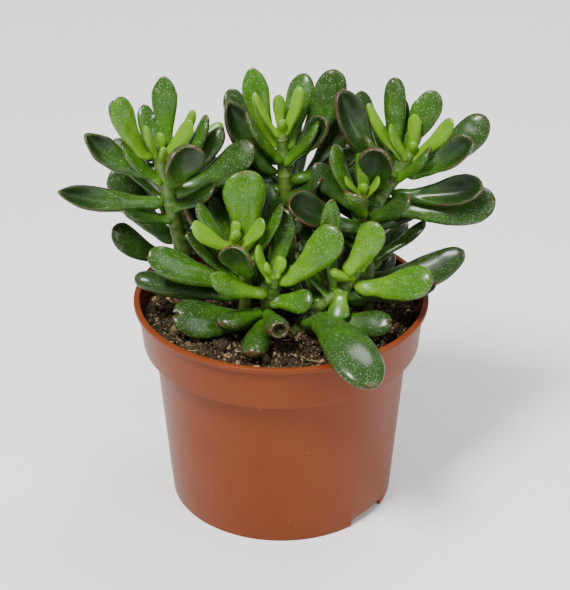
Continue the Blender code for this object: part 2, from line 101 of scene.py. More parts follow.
# For each leaf of a stem, in the order of their numbers: its age, from 0 for a fresh yellow-green leaf to 1
# for an old dark one; how much grey bloom lies on it; and how pointed its tip is, or, below 0, how deep its
# notch is.
LEAF_LOOKS = {
    "left": (
        (0.62, 0.35, 0.2), (0.3, 0.1, 0.3), (0.55, 0.3, 0.8), (0.72, 0.45, 0.9), (0.7, 0.25, 0.1),
        (0.8, 0.2, 0.6), (0.74, 0.55, 0.2), (0.74, 0.5, 1.0), (0.72, 0.6, 0.1), (0.9, 0.2, 0.1),
        (0.8, 0.35, 0.1),
    ),
    "tall": (
        (0.38, 0.1, 0.8), (0.72, 0.4, 0.1), (0.86, 0.15, 0.5), (0.68, 0.45, 0.1), (0.72, 0.3, 0.1),
        (0.88, 0.35, 0.1), (0.76, 0.15, 0.8), (0.84, 0.15, 0.8),
    ),
    "right": (
        (0.88, 0.2, 0.2), (0.74, 0.45, 0.1), (0.58, 0.35, 0.1), (0.72, 0.3, 0.1), (0.68, 0.2, 0.3),
        (0.78, 0.2, 0.1), (0.84, 0.25, 0.4), (0.72, 0.45, 0.1), (0.85, 0.35, 0.1), (0.62, 0.25, 0.1),
    ),
    "inner": (
        (0.82, 0.2, 0.4), (0.84, 0.15, 0.1), (0.86, 0.2, 0.5),
    ),
    "front": (
        (0.4, 0.05, 0.1), (0.66, 0.1, 0.1), (0.4, 0.05, 0.3), (0.7, 0.15, -0.9), (0.66, 0.1, 0.1),
        (0.66, 0.1, 0.1), (0.7, 0.15, 0.1),
    ),
    "front_left": (
        (0.38, 0.05, 0.1), (0.56, 0.1, 0.1), (0.8, 0.15, 0.1), (0.6, 0.1, 0.1), (0.88, 0.15, 0.1),
        (0.82, 0.2, 0.1),
    ),
    "front_right": (
        (0.46, 0.1, 0.7), (0.3, 0.05, 0.2), (0.42, 0.05, 0.1), (0.86, 0.3, 0.1), (0.72, 0.08, 0.1),
        (0.72, 0.15, -0.7),
    ),
}

# Young leaves of each stem, too small to be solids of their own: millimetres under the growing tip, compass
# direction, rise, length, width, form, age and roll. Lengths are in millimetres, angles in degrees.
YOUNG_LEAVES = {
    "left": (
        (5, 31, 55, 24, 4.2, "finger", 0.12, 60), (1, 239, 66, 17, 3.6, "finger", 0.05, 0),
        (2, 8, 52, 19, 6.0, "spoon", 0.1, 60), (5, 100, 56, 20, 6.5, "spoon", 0.55, 0),
        (10, 30, 33, 30, 8.0, "spoon", 0.2, 45), (0, 60, 84, 8, 3.6, "finger", 0.03, 0),
        (7, 165, 14, 23, 5.5, "spoon", 0.85, -40), (3, 300, 70, 7, 3.4, "finger", 0.08, 0),
        (12, 200, 50, 24, 9.5, "spoon", 0.55, -20), (24, 335, 34, 22, 9.5, "spoon", 0.8, 30),
        (30, 205, 22, 22, 9.0, "spoon", 0.82, -20),
    ),
    "tall": (
        (2, 196, 63, 22, 4.4, "finger", 0.05, 0), (1, 18, 70, 20, 5.2, "finger", 0.05, 40),
        (26, 161, 36, 22, 9.0, "spoon", 0.85, -40), (34, 19, 48, 19, 8.0, "spoon", 0.85, 40),
        (1, 100, 72, 15, 5.0, "spoon", 0.2, 0), (0, 280, 78, 6, 3.2, "finger", 0.02, 0),
        (12, 212, 56, 28, 10.5, "spoon", 0.62, -25), (13, 328, 54, 26, 10.0, "spoon", 0.56, 25),
        (28, 318, 38, 22, 9.5, "spoon", 0.84, 30), (30, 222, 30, 20, 9.0, "spoon", 0.84, -30),
    ),
    "right": (
        (3, 180, 57, 28, 4.8, "finger", 0.1, -40), (0, 80, 80, 15, 5.2, "spoon", 0.05, 0),
        (2, 205, 62, 17, 7.4, "spoon", 0.16, -40), (3, 346, 50, 24, 7.0, "spoon", 0.12, 50),
        (1, 350, 46, 12, 4.2, "finger", 0.04, 40), (5, 100, 62, 26, 8.0, "spoon", 0.7, 0),
        (4, 60, 68, 24, 7.0, "spoon", 0.45, 20), (0, 270, 76, 6, 3.2, "finger", 0.02, 0),
        (10, 215, 52, 24, 9.0, "spoon", 0.58, -20), (12, 320, 48, 22, 9.0, "spoon", 0.56, 25),
        (24, 225, 30, 20, 9.0, "spoon", 0.82, -20),
    ),
    "inner": (
        (2, 83, 78, 19, 7.0, "spoon", 0.45, 0), (1, 200, 52, 11, 4.0, "spoon", 0.1, -30),
        (9, 238, 53, 15, 9.8, "scoop", 0.5, 0), (2, 340, 60, 11, 4.2, "spoon", 0.06, 40),
        (20, 178, 22, 30, 6.8, "spoon", 0.88, -50), (1, 280, 74, 6, 3.2, "finger", 0.05, 0),
    ),
    "front": (
        (2, 200, 72, 17, 6.6, "spoon", 0.08, -40), (12, 332, 14, 18, 9.6, "spoon", 0.5, 50),
        (0, 30, 70, 8, 5.2, "finger", 0.04, 20), (0, 200, 66, 7, 4.6, "finger", 0.04, 0),
    ),
    "front_left": (
        (4, 200, 40, 21, 7.6, "spoon", 0.08, -45), (4, 350, 52, 17, 6.2, "spoon", 0.14, 50),
        (0, 60, 74, 7, 4.2, "finger", 0.03, 0), (1, 290, 64, 7, 4.0, "finger", 0.05, 0),
    ),
    "front_right": (
        (2, 63, 64, 20, 7.6, "spoon", 0.66, 20), (12, 258, -42, 12, 8.6, "spoon", 0.4, 0),
        (14, 354, 10, 38, 8.0, "spoon", 0.9, 50), (0, 20, 62, 7, 4.4, "finger", 0.03, 0),
        (0, 210, 66, 7, 4.2, "finger", 0.03, 0), (4, 215, 28, 11, 5.4, "finger", 0.12, 0),
    ),
}

# How wide, how thick and how dipped a young leaf of each form is at each share of its length, and its
# thickness as a share of its width.
LEAF_SHARES = (0.0, 0.05, 0.2, 0.4, 0.6, 0.78, 0.91, 0.975, 1.0)
LEAF_FORMS = {
    "spoon": ((0.0, 0.52, 0.6, 0.76, 0.96, 1.0, 0.8, 0.46, 0.0),
              (0.0, 0.66, 0.8, 0.98, 1.0, 0.9, 0.66, 0.36, 0.0),
              (0.0, 0.0, 0.0, 0.0, 0.0, 0.0, 0.0, 0.0, 0.0), 0.44),
    "scoop": ((0.0, 0.42, 0.5, 0.68, 0.92, 1.0, 0.88, 0.58, 0.0),
              (0.0, 0.60, 0.76, 0.96, 1.0, 0.96, 0.8, 0.5, 0.0),
              (0.0, 0.0, 0.0, 0.6, 1.2, 1.5, 1.3, 0.7, 0.0), 0.46),
    "finger": ((0.0, 0.64, 0.78, 0.92, 1.0, 0.96, 0.80, 0.50, 0.0),
               (0.0, 0.64, 0.78, 0.92, 1.0, 0.96, 0.78, 0.48, 0.0),
               (0.0, 0.0, 0.0, 0.0, 0.0, 0.0, 0.0, 0.0, 0.0), 0.80),
}


# ---------------------------------------------------------------- shader arithmetic


class Value:
    """A shader socket that takes part in Python arithmetic; each operator adds one Math node."""

    def __init__(self, look, socket):
        self.look = look
        self.socket = socket

    def math(self, operation, *values):
        """A Math node fed by these values."""
        return self.look.node("ShaderNodeMath", {"operation": operation}, *values)

    def __add__(self, other):
        return self.math("ADD", self, other)

    def __mul__(self, other):
        return self.math("MULTIPLY", self, other)

    def __sub__(self, other):
        return self.math("SUBTRACT", self, other)

    def __rsub__(self, other):
        return self.math("SUBTRACT", other, self)

    __radd__ = __add__
    __rmul__ = __mul__

    def output(self, name):
        """Another output of the node that this value comes from."""
        return Value(self.look, self.socket.node.outputs[name])

    def rise(self, low, high):
        """0 below low, 1 above high, and a smooth step between them."""
        return self.look.node(
            "ShaderNodeMapRange", {"interpolation_type": "SMOOTHSTEP"}, self, low, high, 0.0, 1.0
        )


class Look:
    """One material: a Principled shader, its constants, and the nodes that feed it."""

    def __init__(self, name, **constants):
        self.material = bpy.data.materials.new(name)
        self.material.use_nodes = True
        self.tree = self.material.node_tree
        self.shader = self.tree.nodes["Principled BSDF"]
        self.wear(**constants)

    def put(self, socket, value):
        """Links a value to a socket, or sets a constant on it; None leaves it alone."""
        if isinstance(value, Value):
            self.tree.links.new(value.socket, socket)
        elif value is not None:
            socket.default_value = value

    def node(self, kind, settings=None, *values, out=0, **named):
        """Any node: its settings first, then its inputs in order or by name, None leaving one alone."""
        made = self.tree.nodes.new(kind)
        for key, value in (settings or {}).items():
            if key == "stops":
                self.set_stops(made.color_ramp, value)
            else:
                setattr(made, key, value)
        for socket, value in zip(made.inputs, values):
            self.put(socket, value)
        for key, value in named.items():
            self.put(made.inputs[key.replace("_", " ")], value)
        return Value(self, made.outputs[out])

    @staticmethod
    def set_stops(ramp, stops):
        """Gives a colour ramp its stops, each a place and a colour."""
        while len(ramp.elements) < len(stops):
            ramp.elements.new(1.0)
        for element, (place, colour) in zip(ramp.elements, stops):
            element.position = place
            element.color = (*colour, 1.0)

    def place(self):
        """Object coordinates."""
        return self.node("ShaderNodeTexCoord", out=3)

    def attribute(self, name):
        """A number stored at each point of the mesh."""
        return self.node("ShaderNodeAttribute", {"attribute_name": name}, out=2)

    def noise(self, where, scale, detail=2.0, roughness=0.5):
        """Smooth noise around 0.5, with features of about 1 / scale metres."""
        return self.node("ShaderNodeTexNoise", None, where, None, scale, detail, roughness)

    def specks(self, where, scale):
        """Distance to the nearest point of a jittered lattice, and that point's own random number."""
        near = self.node("ShaderNodeTexVoronoi", {"feature": "F1"}, where, None, scale)
        return near, self.node("ShaderNodeSeparateColor", None, near.output("Color"))

    def ramp(self, value, stops):
        """The colour at that value between the stops."""
        return self.node("ShaderNodeValToRGB", {"stops": stops}, value)

    def mix(self, factor, first, second):
        """A colour between two: the first where the factor is 0, the second where it is 1."""
        first, second = (c if isinstance(c, Value) else (*c, 1.0) for c in (first, second))
        unused = (None,) * 5
        return self.node("ShaderNodeMix", {"data_type": "RGBA"}, factor, *unused, first, second, out=2)

    def stretch(self, where, factors):
        """Coordinates multiplied by a factor along each axis."""
        return self.node("ShaderNodeVectorMath", {"operation": "MULTIPLY"}, where, factors)

    def bump(self, height, distance, strength):
        """A normal tilted by a height field."""
        return self.node("ShaderNodeBump", None, Strength=strength, Distance=distance, Height=height)

    def wear(self, **sockets):
        """Feeds the shader's sockets and hands back the material."""
        for socket, value in sockets.items():
            self.put(self.shader.inputs[socket.replace("_", " ")], value)
        return self.material


# ---------------------------------------------------------------- surfaces


def unit(vectors):
    """Vectors divided by their lengths."""
    return vectors / np.maximum(np.linalg.norm(vectors, axis=-1, keepdims=True), 1e-12)


def turns_of(count):
    """Angles of that many evenly spaced points round a circle."""
    return np.arange(count) * FULL_TURN / count


def reach_along(line):
    """Distance along a line of points from its first point to each of them."""
    return np.concatenate(([0], np.cumsum(np.linalg.norm(np.diff(line, axis=0), axis=1))))


def tube_faces(rows, columns, start=0):
    """Corner lists of a closed tube of points, row by row: the foot's point first, the tip's point last."""
    column = np.arange(columns)
    after = (column + 1) % columns
    first = start + 1
    row = first + columns * np.arange(rows - 1)[:, None]
    quads = np.stack((row + column, row + after, row + columns + after, row + columns + column), -1)
    last = first + (rows - 1) * columns
    foot = np.stack((np.full(columns, start), first + after, first + column), -1)
    tip = np.stack((np.full(columns, last + columns), last + column, last + after), -1)
    return quads.reshape(-1, 4), np.concatenate((foot, tip))


def make_piece(name, points, quads, triangles, material, slot, values=None, node=None, sharp=None):
    """A smooth shaded mesh that rides on the body, takes the place of a node and carries float attributes."""
    mesh = bpy.data.meshes.new(name)
    loops = np.concatenate((quads.ravel(), triangles.ravel())).astype(np.int32)
    starts = np.concatenate((np.arange(len(quads)) * 4, len(quads) * 4 + np.arange(len(triangles)) * 3))
    mesh.vertices.add(len(points))
    mesh.vertices.foreach_set("co", np.ascontiguousarray(points, np.float32).ravel())
    mesh.loops.add(len(loops))
    mesh.loops.foreach_set("vertex_index", loops)
    mesh.polygons.add(len(starts))
    mesh.polygons.foreach_set("loop_start", starts.astype(np.int32))
    mesh.polygons.foreach_set("use_smooth", np.ones(len(starts), bool))
    mesh.update(calc_edges=True)
    mesh.validate()
    for key, value in (values or {}).items():
        layer = mesh.attributes.new(key, "FLOAT", "POINT")
        layer.data.foreach_set("value", np.ascontiguousarray(value, np.float32).ravel())
    if sharp is not None:
        mesh.set_sharp_from_angle(angle=np.radians(sharp))
    mesh.materials.append(material)
    piece = bpy.data.objects.new(name, mesh)
    bpy.context.scene.collection.objects.link(piece)
    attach(piece, "root")
    if node:
        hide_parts(node)
    return piece


def corners_and_triangles(mesh):
    """A mesh's points and its triangles' corner numbers, as arrays."""
    mesh.calc_loop_triangles()
    points = np.empty(len(mesh.vertices) * 3)
    mesh.vertices.foreach_get("co", points)
    triangles = np.empty(len(mesh.loop_triangles) * 3, np.int64)
    mesh.loop_triangles.foreach_get("vertices", triangles)
    return points.reshape(-1, 3), triangles.reshape(-1, 3)


def welded(node):
    """The points and triangles of a copy of a node's mesh, with corners in the same tiny cell made one."""
    points, triangles = corners_and_triangles(NODES[node].data)
    cells = np.round(points / WELD).astype(np.int64)
    _, first, same = np.unique(cells, axis=0, return_index=True, return_inverse=True)
    return points[first], same.reshape(-1)[triangles]


def ring_order(ring, edges):
    """The corners of one closed ring in the order in which its edges join them.

    The second and third eigenvectors of the table of neighbours are a cosine and a sine of the place round
    the ring. The order starts at the first corner and goes towards the first of its two neighbours.
    """
    inside = np.searchsorted(ring, edges[np.isin(edges, ring).all(axis=1)])
    near = np.zeros((len(ring), len(ring)))
    near[inside, inside[:, ::-1]] = 1
    if (near.sum(0) != 2).any():
        raise RuntimeError("a ring of the solid isn't closed")
    cosine, sine = np.linalg.eigh(near)[1][:, -3:-1].T
    order = np.argsort(np.arctan2(sine, cosine))
    order = np.roll(order, -int(np.argmin(order)))
    return ring[order if order[1] < order[-1] else np.roll(order[::-1], 1)]


def ring_levels(node, edges, foot, count):
    """For each corner, how many edges away from the foot it is."""
    level = np.full(count, -1)
    level[foot] = 0
    step = 0
    while (level < 0).any():
        near = np.concatenate((edges[level[edges[:, 0]] == step, 1], edges[level[edges[:, 1]] == step, 0]))
        near = near[level[near] < 0]
        if not len(near):
            raise RuntimeError(f"{node} isn't a loft")
        step += 1
        level[near] = step
    return level


def control_net(node, towards):
    """The rings of a lofted solid, from the end nearest to the point `towards`.

    The ends are the two corners where a whole ring of triangles meets. Every other corner belongs to the ring
    that is as many edges away from the foot as its number. Each ring is turned, and reversed where it has to
    be, to line up with the ring before it, and the first one starts at its corner furthest from its middle.
    """
    points, triangles = welded(node)
    pairs = np.concatenate((triangles[:, :2], triangles[:, 1:], triangles[:, ::2]))
    edges = np.unique(np.sort(pairs, axis=1), axis=0)
    ends = np.argsort(np.bincount(edges.ravel(), minlength=len(points)))[-2:]
    foot, tip = ends[np.argsort(np.linalg.norm(points[ends] - towards, axis=1))]
    level = ring_levels(node, edges, foot, len(points))
    net = []
    for step in range(1, level[tip]):
        ring = points[ring_order(np.flatnonzero(level == step), edges)]
        out = ring - ring.mean(0)
        if net:
            before = unit(net[-1] - net[-1].mean(0))
            turned = [np.roll(way, k, axis=0) for way in (ring, ring[::-1]) for k in range(len(ring))]
            ring = max(turned, key=lambda way: (before * unit(way - way.mean(0))).sum())
        else:
            ring = np.roll(ring, -int(np.argmax(np.linalg.norm(out, axis=1))), axis=0)
            out = ring - ring.mean(0)
            if np.cross(out, np.roll(out, -1, axis=0)).sum(0) @ (points[tip] - points[foot]) < 0:
                ring = np.roll(ring[::-1], 1, axis=0)
        net.append(ring)
    return np.array(net), points[foot], points[tip]


def rounder(rings, columns):
    """Each ring with more points: its Fourier series, read at more places round it."""
    waves = np.fft.rfft(rings, axis=1)
    more = np.zeros((rings.shape[0], columns // 2 + 1, 3), complex)
    more[:, : waves.shape[1]] = waves
    if rings.shape[1] % 2 == 0:
        more[:, waves.shape[1] - 1] *= 0.5
    return np.fft.irfft(more, columns, axis=1) * columns / rings.shape[1]


def longer(rings, foot, tip, steps):
    """More rows between the rings: cubic pieces whose slopes come from the rows on each side.

    The line runs over each end and down the opposite column, so that both ends come out round.
    """
    half = rings.shape[1] // 2
    ends = [np.broadcast_to(end, (1,) + rings.shape[1:]) for end in (foot, tip)]
    beyond = [np.roll(ring, half, 1) for ring in (rings[:1], rings[-1:])]
    rows = np.concatenate((beyond[0], ends[0], rings, ends[1], beyond[1]))
    gaps = np.linalg.norm(np.diff(rows, axis=0), axis=2).mean(1)[:, None, None] + 1e-9
    slopes = np.diff(rows, axis=0) / gaps
    tangents = (slopes[1:] * gaps[:-1] + slopes[:-1] * gaps[1:]) / (gaps[1:] + gaps[:-1])
    inner, spans = rows[1:-1], gaps[1:-1]
    t = (np.arange(steps) / steps)[None, :, None, None]
    start, end = inner[:-1, None], inner[1:, None]
    leave, arrive = (tangents[:-1] * spans)[:, None], (tangents[1:] * spans)[:, None]
    fine = (
        (2 * t**3 - 3 * t**2 + 1) * start
        + (t**3 - 2 * t**2 + t) * leave
        + (3 * t**2 - 2 * t**3) * end
        + (t**3 - t**2) * arrive
    )
    return fine.reshape((-1,) + rings.shape[1:])[1:]


def normals_of(grid):
    """Unit normals of a closed tube of points, from its differences round and along."""
    round_it = np.roll(grid, -1, 1) - np.roll(grid, 1, 1)
    along_it = np.gradient(grid, axis=0)
    return unit(np.cross(round_it, along_it))


def waves_over(points, rng, size, count=7):
    """A smooth random field with features of about that size: a sum of sine waves in random directions."""
    ways = unit(rng.normal(size=(count, 3))) * (FULL_TURN / size) * rng.uniform(0.6, 1.5, (count, 1))
    shifts = rng.uniform(0, FULL_TURN, count)
    return np.sin(points @ ways.T + shifts).sum(-1) / np.sqrt(count)


# ---------------------------------------------------------------- leaves and stems


def directions(compass, rise):
    """Along a leaf of that compass direction and rise, and square to it, up and back to the stem."""
    b, r = np.radians(compass), np.radians(rise)
    heading = np.array((np.cos(b) * np.cos(r), np.sin(b) * np.cos(r), np.sin(r)))
    face = np.array((-np.cos(b) * np.sin(r), -np.sin(b) * np.sin(r), np.cos(r)))
    return heading, face


def upper_side(rings, heading, side):
    """The direction that the leaf's upper side faces, square to its heading and to the line across it.

    A dipped leaf has its edges raised above its middle, which shows its upper side. Any other leaf shows the
    side that is turned to the sky, or to the stem where it stands upright.
    """
    above = unit(np.cross(heading, side))
    late = rings[-4:-1] - rings[-4:-1].mean(1, keepdims=True)
    half = rings.shape[1] // 2
    edges = (late[:, (0, half)] @ above).mean()
    width = np.linalg.norm(late[:, 0] - late[:, half], axis=1).max()
    if abs(edges) > 0.03 * width:
        return above * np.sign(edges)
    sky = above[2] if abs(above[2]) > 0.2 else -above @ np.array((heading[0], heading[1], 0.0))
    return above * (np.sign(sky) or 1.0)


def leaf_surface(net, outer_rings, rng, settings, point=0.1):
    """A fine leaf over a coarse net, and its attributes.

    The net's rings are made rounder and closer together. The width shrinks towards a pointed tip, or the middle
    of the tip is drawn back into a notch. The foot is drawn back into the stem and spread, so that it clasps
    it. The skin then rises by a soft uneven field and by a thin ridge along both edges, and a leaf that isn't
    dipped sinks in a shallow groove down the middle of its upper side.
    """
    rings, foot, tip = net
    rows = longer(rounder(rings, LEAF_COLUMNS), foot, tip, LEAF_ROWS)
    middle = rows.mean(1)
    lengths = reach_along(middle)
    row = np.arange(len(rows))
    outer = row < outer_rings * LEAF_ROWS
    inside = np.clip((row - outer_rings * LEAF_ROWS + 1) / LEAF_ROWS, 0, 1) * ~outer
    along = np.where(outer, lengths / lengths[outer].max(), 1.0)
    heading = unit(middle[outer][-1] - foot)
    waist = rings[len(rings) // 2]
    side = unit(waist[0] - waist.mean(0))
    above = upper_side(rings[:outer_rings], heading, side)
    way = np.sign(np.cross(heading, side) @ above)
    turns = turns_of(LEAF_COLUMNS)
    edge = np.broadcast_to(np.abs(np.cos(turns)), rows.shape[:2])
    upper = np.broadcast_to(np.sin(turns) * way, rows.shape[:2])
    over = (rows - middle[:, None]) @ above
    rim = over[:, (0, LEAF_COLUMNS // 2)].mean(1)
    lowest = over[row, (LEAF_COLUMNS // 4 if way > 0 else 3 * LEAF_COLUMNS // 4)]
    width = np.linalg.norm(rings.max(1) - rings.min(1), axis=1).max()
    dip = np.clip((rim - lowest) / (0.16 * width), 0, 1) * outer
    # Mask of painted shade: the cupped middle of a dipped leaf's upper side, and the inside of a tube past its
    # mouth.
    pit = np.clip(dip[:, None] * np.clip(upper * 1.6 - 0.25, 0, 1) + inside[:, None], 0, 1)

    late = np.clip((along - 0.72) / 0.28, 0, 1) ** 1.5 * outer
    across = ((rows - middle[:, None]) @ side)[..., None] * side
    rows = rows - across * (0.5 * max(point, 0.0) * late)[:, None, None]
    notch_depth = max(-point, 0.0) * 0.15 * width
    notch = np.exp(-((np.cos(turns) / 0.5) ** 2)) * late[:, None] * notch_depth
    rows = rows - heading * notch[..., None]
    tip = tip - heading * notch_depth

    clasp = np.exp(-((along / 0.09) ** 2)) * outer
    rows = middle[:, None] + (rows - middle[:, None]) * (1 + settings.clasp_spread * clasp)[:, None, None]
    rows = rows - heading * (settings.clasp_depth * clasp)[:, None, None]
    foot = foot - heading * settings.clasp_depth * 1.4

    swell = waves_over(rows, rng, 9 * MM) * 0.6 + waves_over(rows, rng, 4 * MM) * 0.25
    arch = np.sin(np.pi * np.clip(along, 0, 1))[:, None]
    ridge = settings.edge_ridge * np.exp(-(((edge - 1) / 0.05) ** 2)) * arch
    groove = -settings.groove * width * np.clip(upper, 0, 1) ** 8 * (1 - dip[:, None])
    groove = groove * np.exp(-(((along[:, None] - 0.35) / 0.25) ** 2))
    open_skin = (np.clip(along / 0.15, 0, 1) * outer)[:, None]
    height = (swell * settings.unevenness + ridge + groove) * open_skin
    rows = rows + normals_of(rows) * height[..., None]

    points = np.concatenate((foot[None], rows.reshape(-1, 3), tip[None]))
    grids = {
        "along": (0.0, np.broadcast_to(along[:, None], edge.shape), 1.0),
        "edge": (0.5, edge, 0.3),
        "upper": (0.5, upper * 0.5 + 0.5, 0.5),
        "pit": (0.0, pit, float(inside[-1] > 0)),
    }
    values = {}
    for key, (at_foot, grid, at_tip) in grids.items():
        values[key] = np.concatenate(([at_foot], grid.ravel(), [at_tip]))
    values["dipped"] = np.full(len(points), float(max(dip.max(), inside.max())))
    return points, len(rows), values


class Bunch:
    """Several lofts collected into one mesh."""

    def __init__(self):
        self.points, self.quads, self.triangles, self.values, self.count = [], [], [], {}, 0

    def add(self, points, rows, columns, values):
        """Takes in one more loft, whose values are numbers or one number for each point."""
        quads, triangles = tube_faces(rows, columns, self.count)
        self.points.append(points)
        self.quads.append(quads)
        self.triangles.append(triangles)
        for key, value in values.items():
            self.values.setdefault(key, []).append(np.broadcast_to(value, len(points)))
        self.count += len(points)

    def piece(self, name, material, slot):
        """Makes the mesh."""
        lists = (np.concatenate(parts) for parts in (self.points, self.quads, self.triangles))
        values = {key: np.concatenate(parts) for key, parts in self.values.items()}
        return make_piece(name, *lists, material, slot, values)


class Stem:
    """A stem of the frame: its rings and ends, the line through its middle, and the radius along it."""

    def __init__(self, name):
        low, high = (np.array(corner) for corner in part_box("stem_" + name))
        under = np.array((*(low + high)[:2] / 2, low[2]))
        self.rings, self.foot, self.tip = control_net("stem_" + name, under)
        radii = np.linalg.norm(self.rings - self.rings.mean(1)[:, None], axis=2).mean(1)
        self.radii = np.append(radii, 0.2 * radii[-1])
        self.line = np.concatenate((self.rings.mean(1), self.tip[None]))
        self.reach = reach_along(self.line)

    def below(self, depth):
        """The middle point and the radius that many millimetres under the growing tip."""
        place = self.reach[-2] - depth * MM
        middle = np.array([np.interp(place, self.reach, column) for column in self.line.T])
        return middle, np.interp(place, self.reach, self.radii)

    def nearest(self, points):
        """The point of the middle line that lies nearest to any of the points."""
        spots = np.linspace(0, len(self.line) - 1, 200)
        fine = np.stack([np.interp(spots, np.arange(len(self.line)), column) for column in self.line.T], -1)
        return fine[np.linalg.norm(points[:, None] - fine, axis=2).min(0).argmin()]


def young_net(stem, below, compass, rise, size, width, form, roll):
    """A coarse net for a young leaf: ellipses whose size follows the form, on a line that bows outwards."""
    start, radius = stem.below(below)
    b = np.radians(compass)
    heading, face = directions(compass, rise)
    start = start + np.array((np.cos(b), np.sin(b), 0.0)) * radius * 0.55
    wide, thick, dip, thickness = (np.array(row) for row in LEAF_FORMS[form])
    t = np.array(LEAF_SHARES)[:, None]
    size = size * MM
    line = start + heading * size * t - face * 4 * 0.06 * size * t * (1 - t)
    side = np.cross(face, heading)
    turned = side * np.cos(np.radians(roll)) + face * np.sin(np.radians(roll))
    over = face * np.cos(np.radians(roll)) - side * np.sin(np.radians(roll))
    turn = turns_of(10)
    half = width * MM / 2
    across = np.cos(turn)[:, None] * turned * half
    height = np.sin(turn) - dip[1:-1, None] * (np.clip(np.sin(turn), 0, 1) ** 4 - 0.5 * np.cos(turn) ** 2)
    up = (thick[1:-1, None] * height)[..., None] * over * half * thickness
    return line[1:-1, None] + wide[1:-1, None, None] * across + up, line[0], line[-1]


# ---------------------------------------------------------------- materials


def leaf_material(settings):
    """Green skin that darkens with age, grey bloom, a red-brown cast and edges, pale glossy dots, and painted
    shade inside hollow leaves.
    """
    look = Look("leaf_skin", Coat_Roughness=0.13, Specular_IOR_Level=0.26, Subsurface_Weight=0.06,
                Subsurface_Scale=0.0012, Subsurface_Radius=(0.5, 1.0, 0.2))
    where = look.place()
    age, bloom = look.attribute("age"), look.attribute("bloom")
    along, edge, upper, pit = (look.attribute(k) for k in ("along", "edge", "upper", "pit"))
    blotch = look.noise(where, 160.0, 3.0, 0.55)
    fine = look.noise(where, 900.0, 3.0, 0.6)
    shade = age + (blotch - 0.5) * 0.42 + (fine - 0.5) * 0.20 - (1.0 - along) * 0.34
    green = look.ramp(shade, (
        (0.0, settings.young), (0.30, settings.fresh), (0.62, settings.grown), (1.0, settings.old),
    ))
    grey = bloom * look.noise(where, 260.0, 4.0, 0.65).rise(0.30, 0.72)
    green = look.mix(grey * 0.5, green, settings.bloom)
    underside = (1.0 - upper).rise(0.55, 0.95) * 0.16
    green = look.mix(underside, green, settings.bloom)
    blush = (1.0 - upper).rise(0.35, 0.9) * age.rise(0.60, 0.95) * blotch.rise(0.35, 0.65) * 0.30
    green = look.mix(blush, green, settings.blush)

    near_tip = along.rise(0.45, 0.95)
    patchy = look.noise(where, 300.0, 2.0)
    rim = edge.rise(0.965, 1.0) * near_tip * patchy.rise(0.34, 0.58)
    lip = edge.rise(0.86, 0.97) * along.rise(0.38, 0.6) * look.attribute("dipped") * patchy.rise(0.25, 0.5)
    point = along.rise(0.955, 0.995) * patchy.rise(0.30, 0.55)
    grown_up = age.rise(0.08, 0.5)
    red = look.node("ShaderNodeMath", {"operation": "MAXIMUM", "use_clamp": True}, rim, lip)
    green = look.mix(red * 0.72 * grown_up, green, settings.margin)
    green = look.mix(point * 0.6 * grown_up, green, settings.margin)
    # Painted shade: a near-black green laid into the hollow of a dipped leaf and the inside of a tube.
    green = look.mix(pit * 0.62, green, settings.pit)

    crowd = patchy.rise(0.36, 0.62) * 0.32 + near_tip * 0.26 + edge.rise(0.70, 1.0) * near_tip * 0.16 + 0.10
    small, chance = look.specks(where, settings.dots)
    large, luck = look.specks(where, settings.dots * 0.6)
    dot = (1.0 - small.rise(0.15, 0.33)) * (crowd - chance).rise(-0.10, 0.06)
    dot = dot + (1.0 - large.rise(0.11, 0.22)) * (crowd - luck).rise(0.0, 0.12) * 0.9
    dot = dot * (1.0 - pit * 0.8) * age.rise(0.0, 0.22) * (1.0 - age.rise(0.56, 0.88) * 0.65)
    height = dot * 0.7 + fine * 0.22 + look.noise(where, 2400.0, 2.0) * 0.12
    return look.wear(
        Base_Color=look.mix(dot * 0.72, green, settings.dot),
        Roughness=settings.roughness + (blotch - 0.5) * 0.14 + grey * 0.20 - dot * 0.10 + pit * 0.15,
        Coat_Weight=0.18 - grey * 0.12 + dot * 0.1 - pit * 0.09,
        Normal=look.bump(height, 0.00022, 0.6),
    )


def stem_material(settings):
    """Soft green bark with brown leaf scars and pale flecks."""
    look = Look("stem_bark", Subsurface_Weight=0.04, Subsurface_Scale=0.0012, Coat_Weight=0.15,
                Coat_Roughness=0.3)
    where = look.place()
    streak = look.noise(look.stretch(where, (1.0, 1.0, 0.18)), 900.0, 3.0, 0.6)
    blotch = look.noise(where, 240.0, 3.0, 0.6)
    green = look.mix(blotch.rise(0.3, 0.7), settings.green, settings.pale)
    low = (1.0 - look.attribute("high")).rise(0.25, 0.95)
    bark = look.mix(low * 0.8 + streak.rise(0.55, 0.8) * 0.25, green, settings.bark)
    scar = look.attribute("scar")
    height = streak * 0.5 + scar * 0.5 + look.noise(where, 1500.0, 3.0) * 0.3
    return look.wear(
        Base_Color=look.mix(scar * streak.rise(0.4, 0.7) * 0.45, bark, settings.scar),
        Roughness=0.42 + blotch * 0.2,
        Normal=look.bump(height, 0.0003, 0.7),
    )


def soil_material(settings):
    """Dark peat: the ground is near black, and crumbs run from dark brown to straw."""
    look = Look("peat", Specular_IOR_Level=0.25)
    where = look.place()
    grain = look.noise(where, 700.0, 4.0, 0.7)
    shade = look.attribute("tone") + (grain - 0.5) * 0.35
    height = grain + look.noise(where, 2600.0, 3.0) * 0.5
    return look.wear(
        Base_Color=look.ramp(shade, (
            (0.0, settings.dark), (0.35, settings.brown), (0.72, settings.light), (0.95, settings.straw),
        )),
        Roughness=0.80 + grain * 0.18,
        Normal=look.bump(height, 0.0006, 0.8),
    )


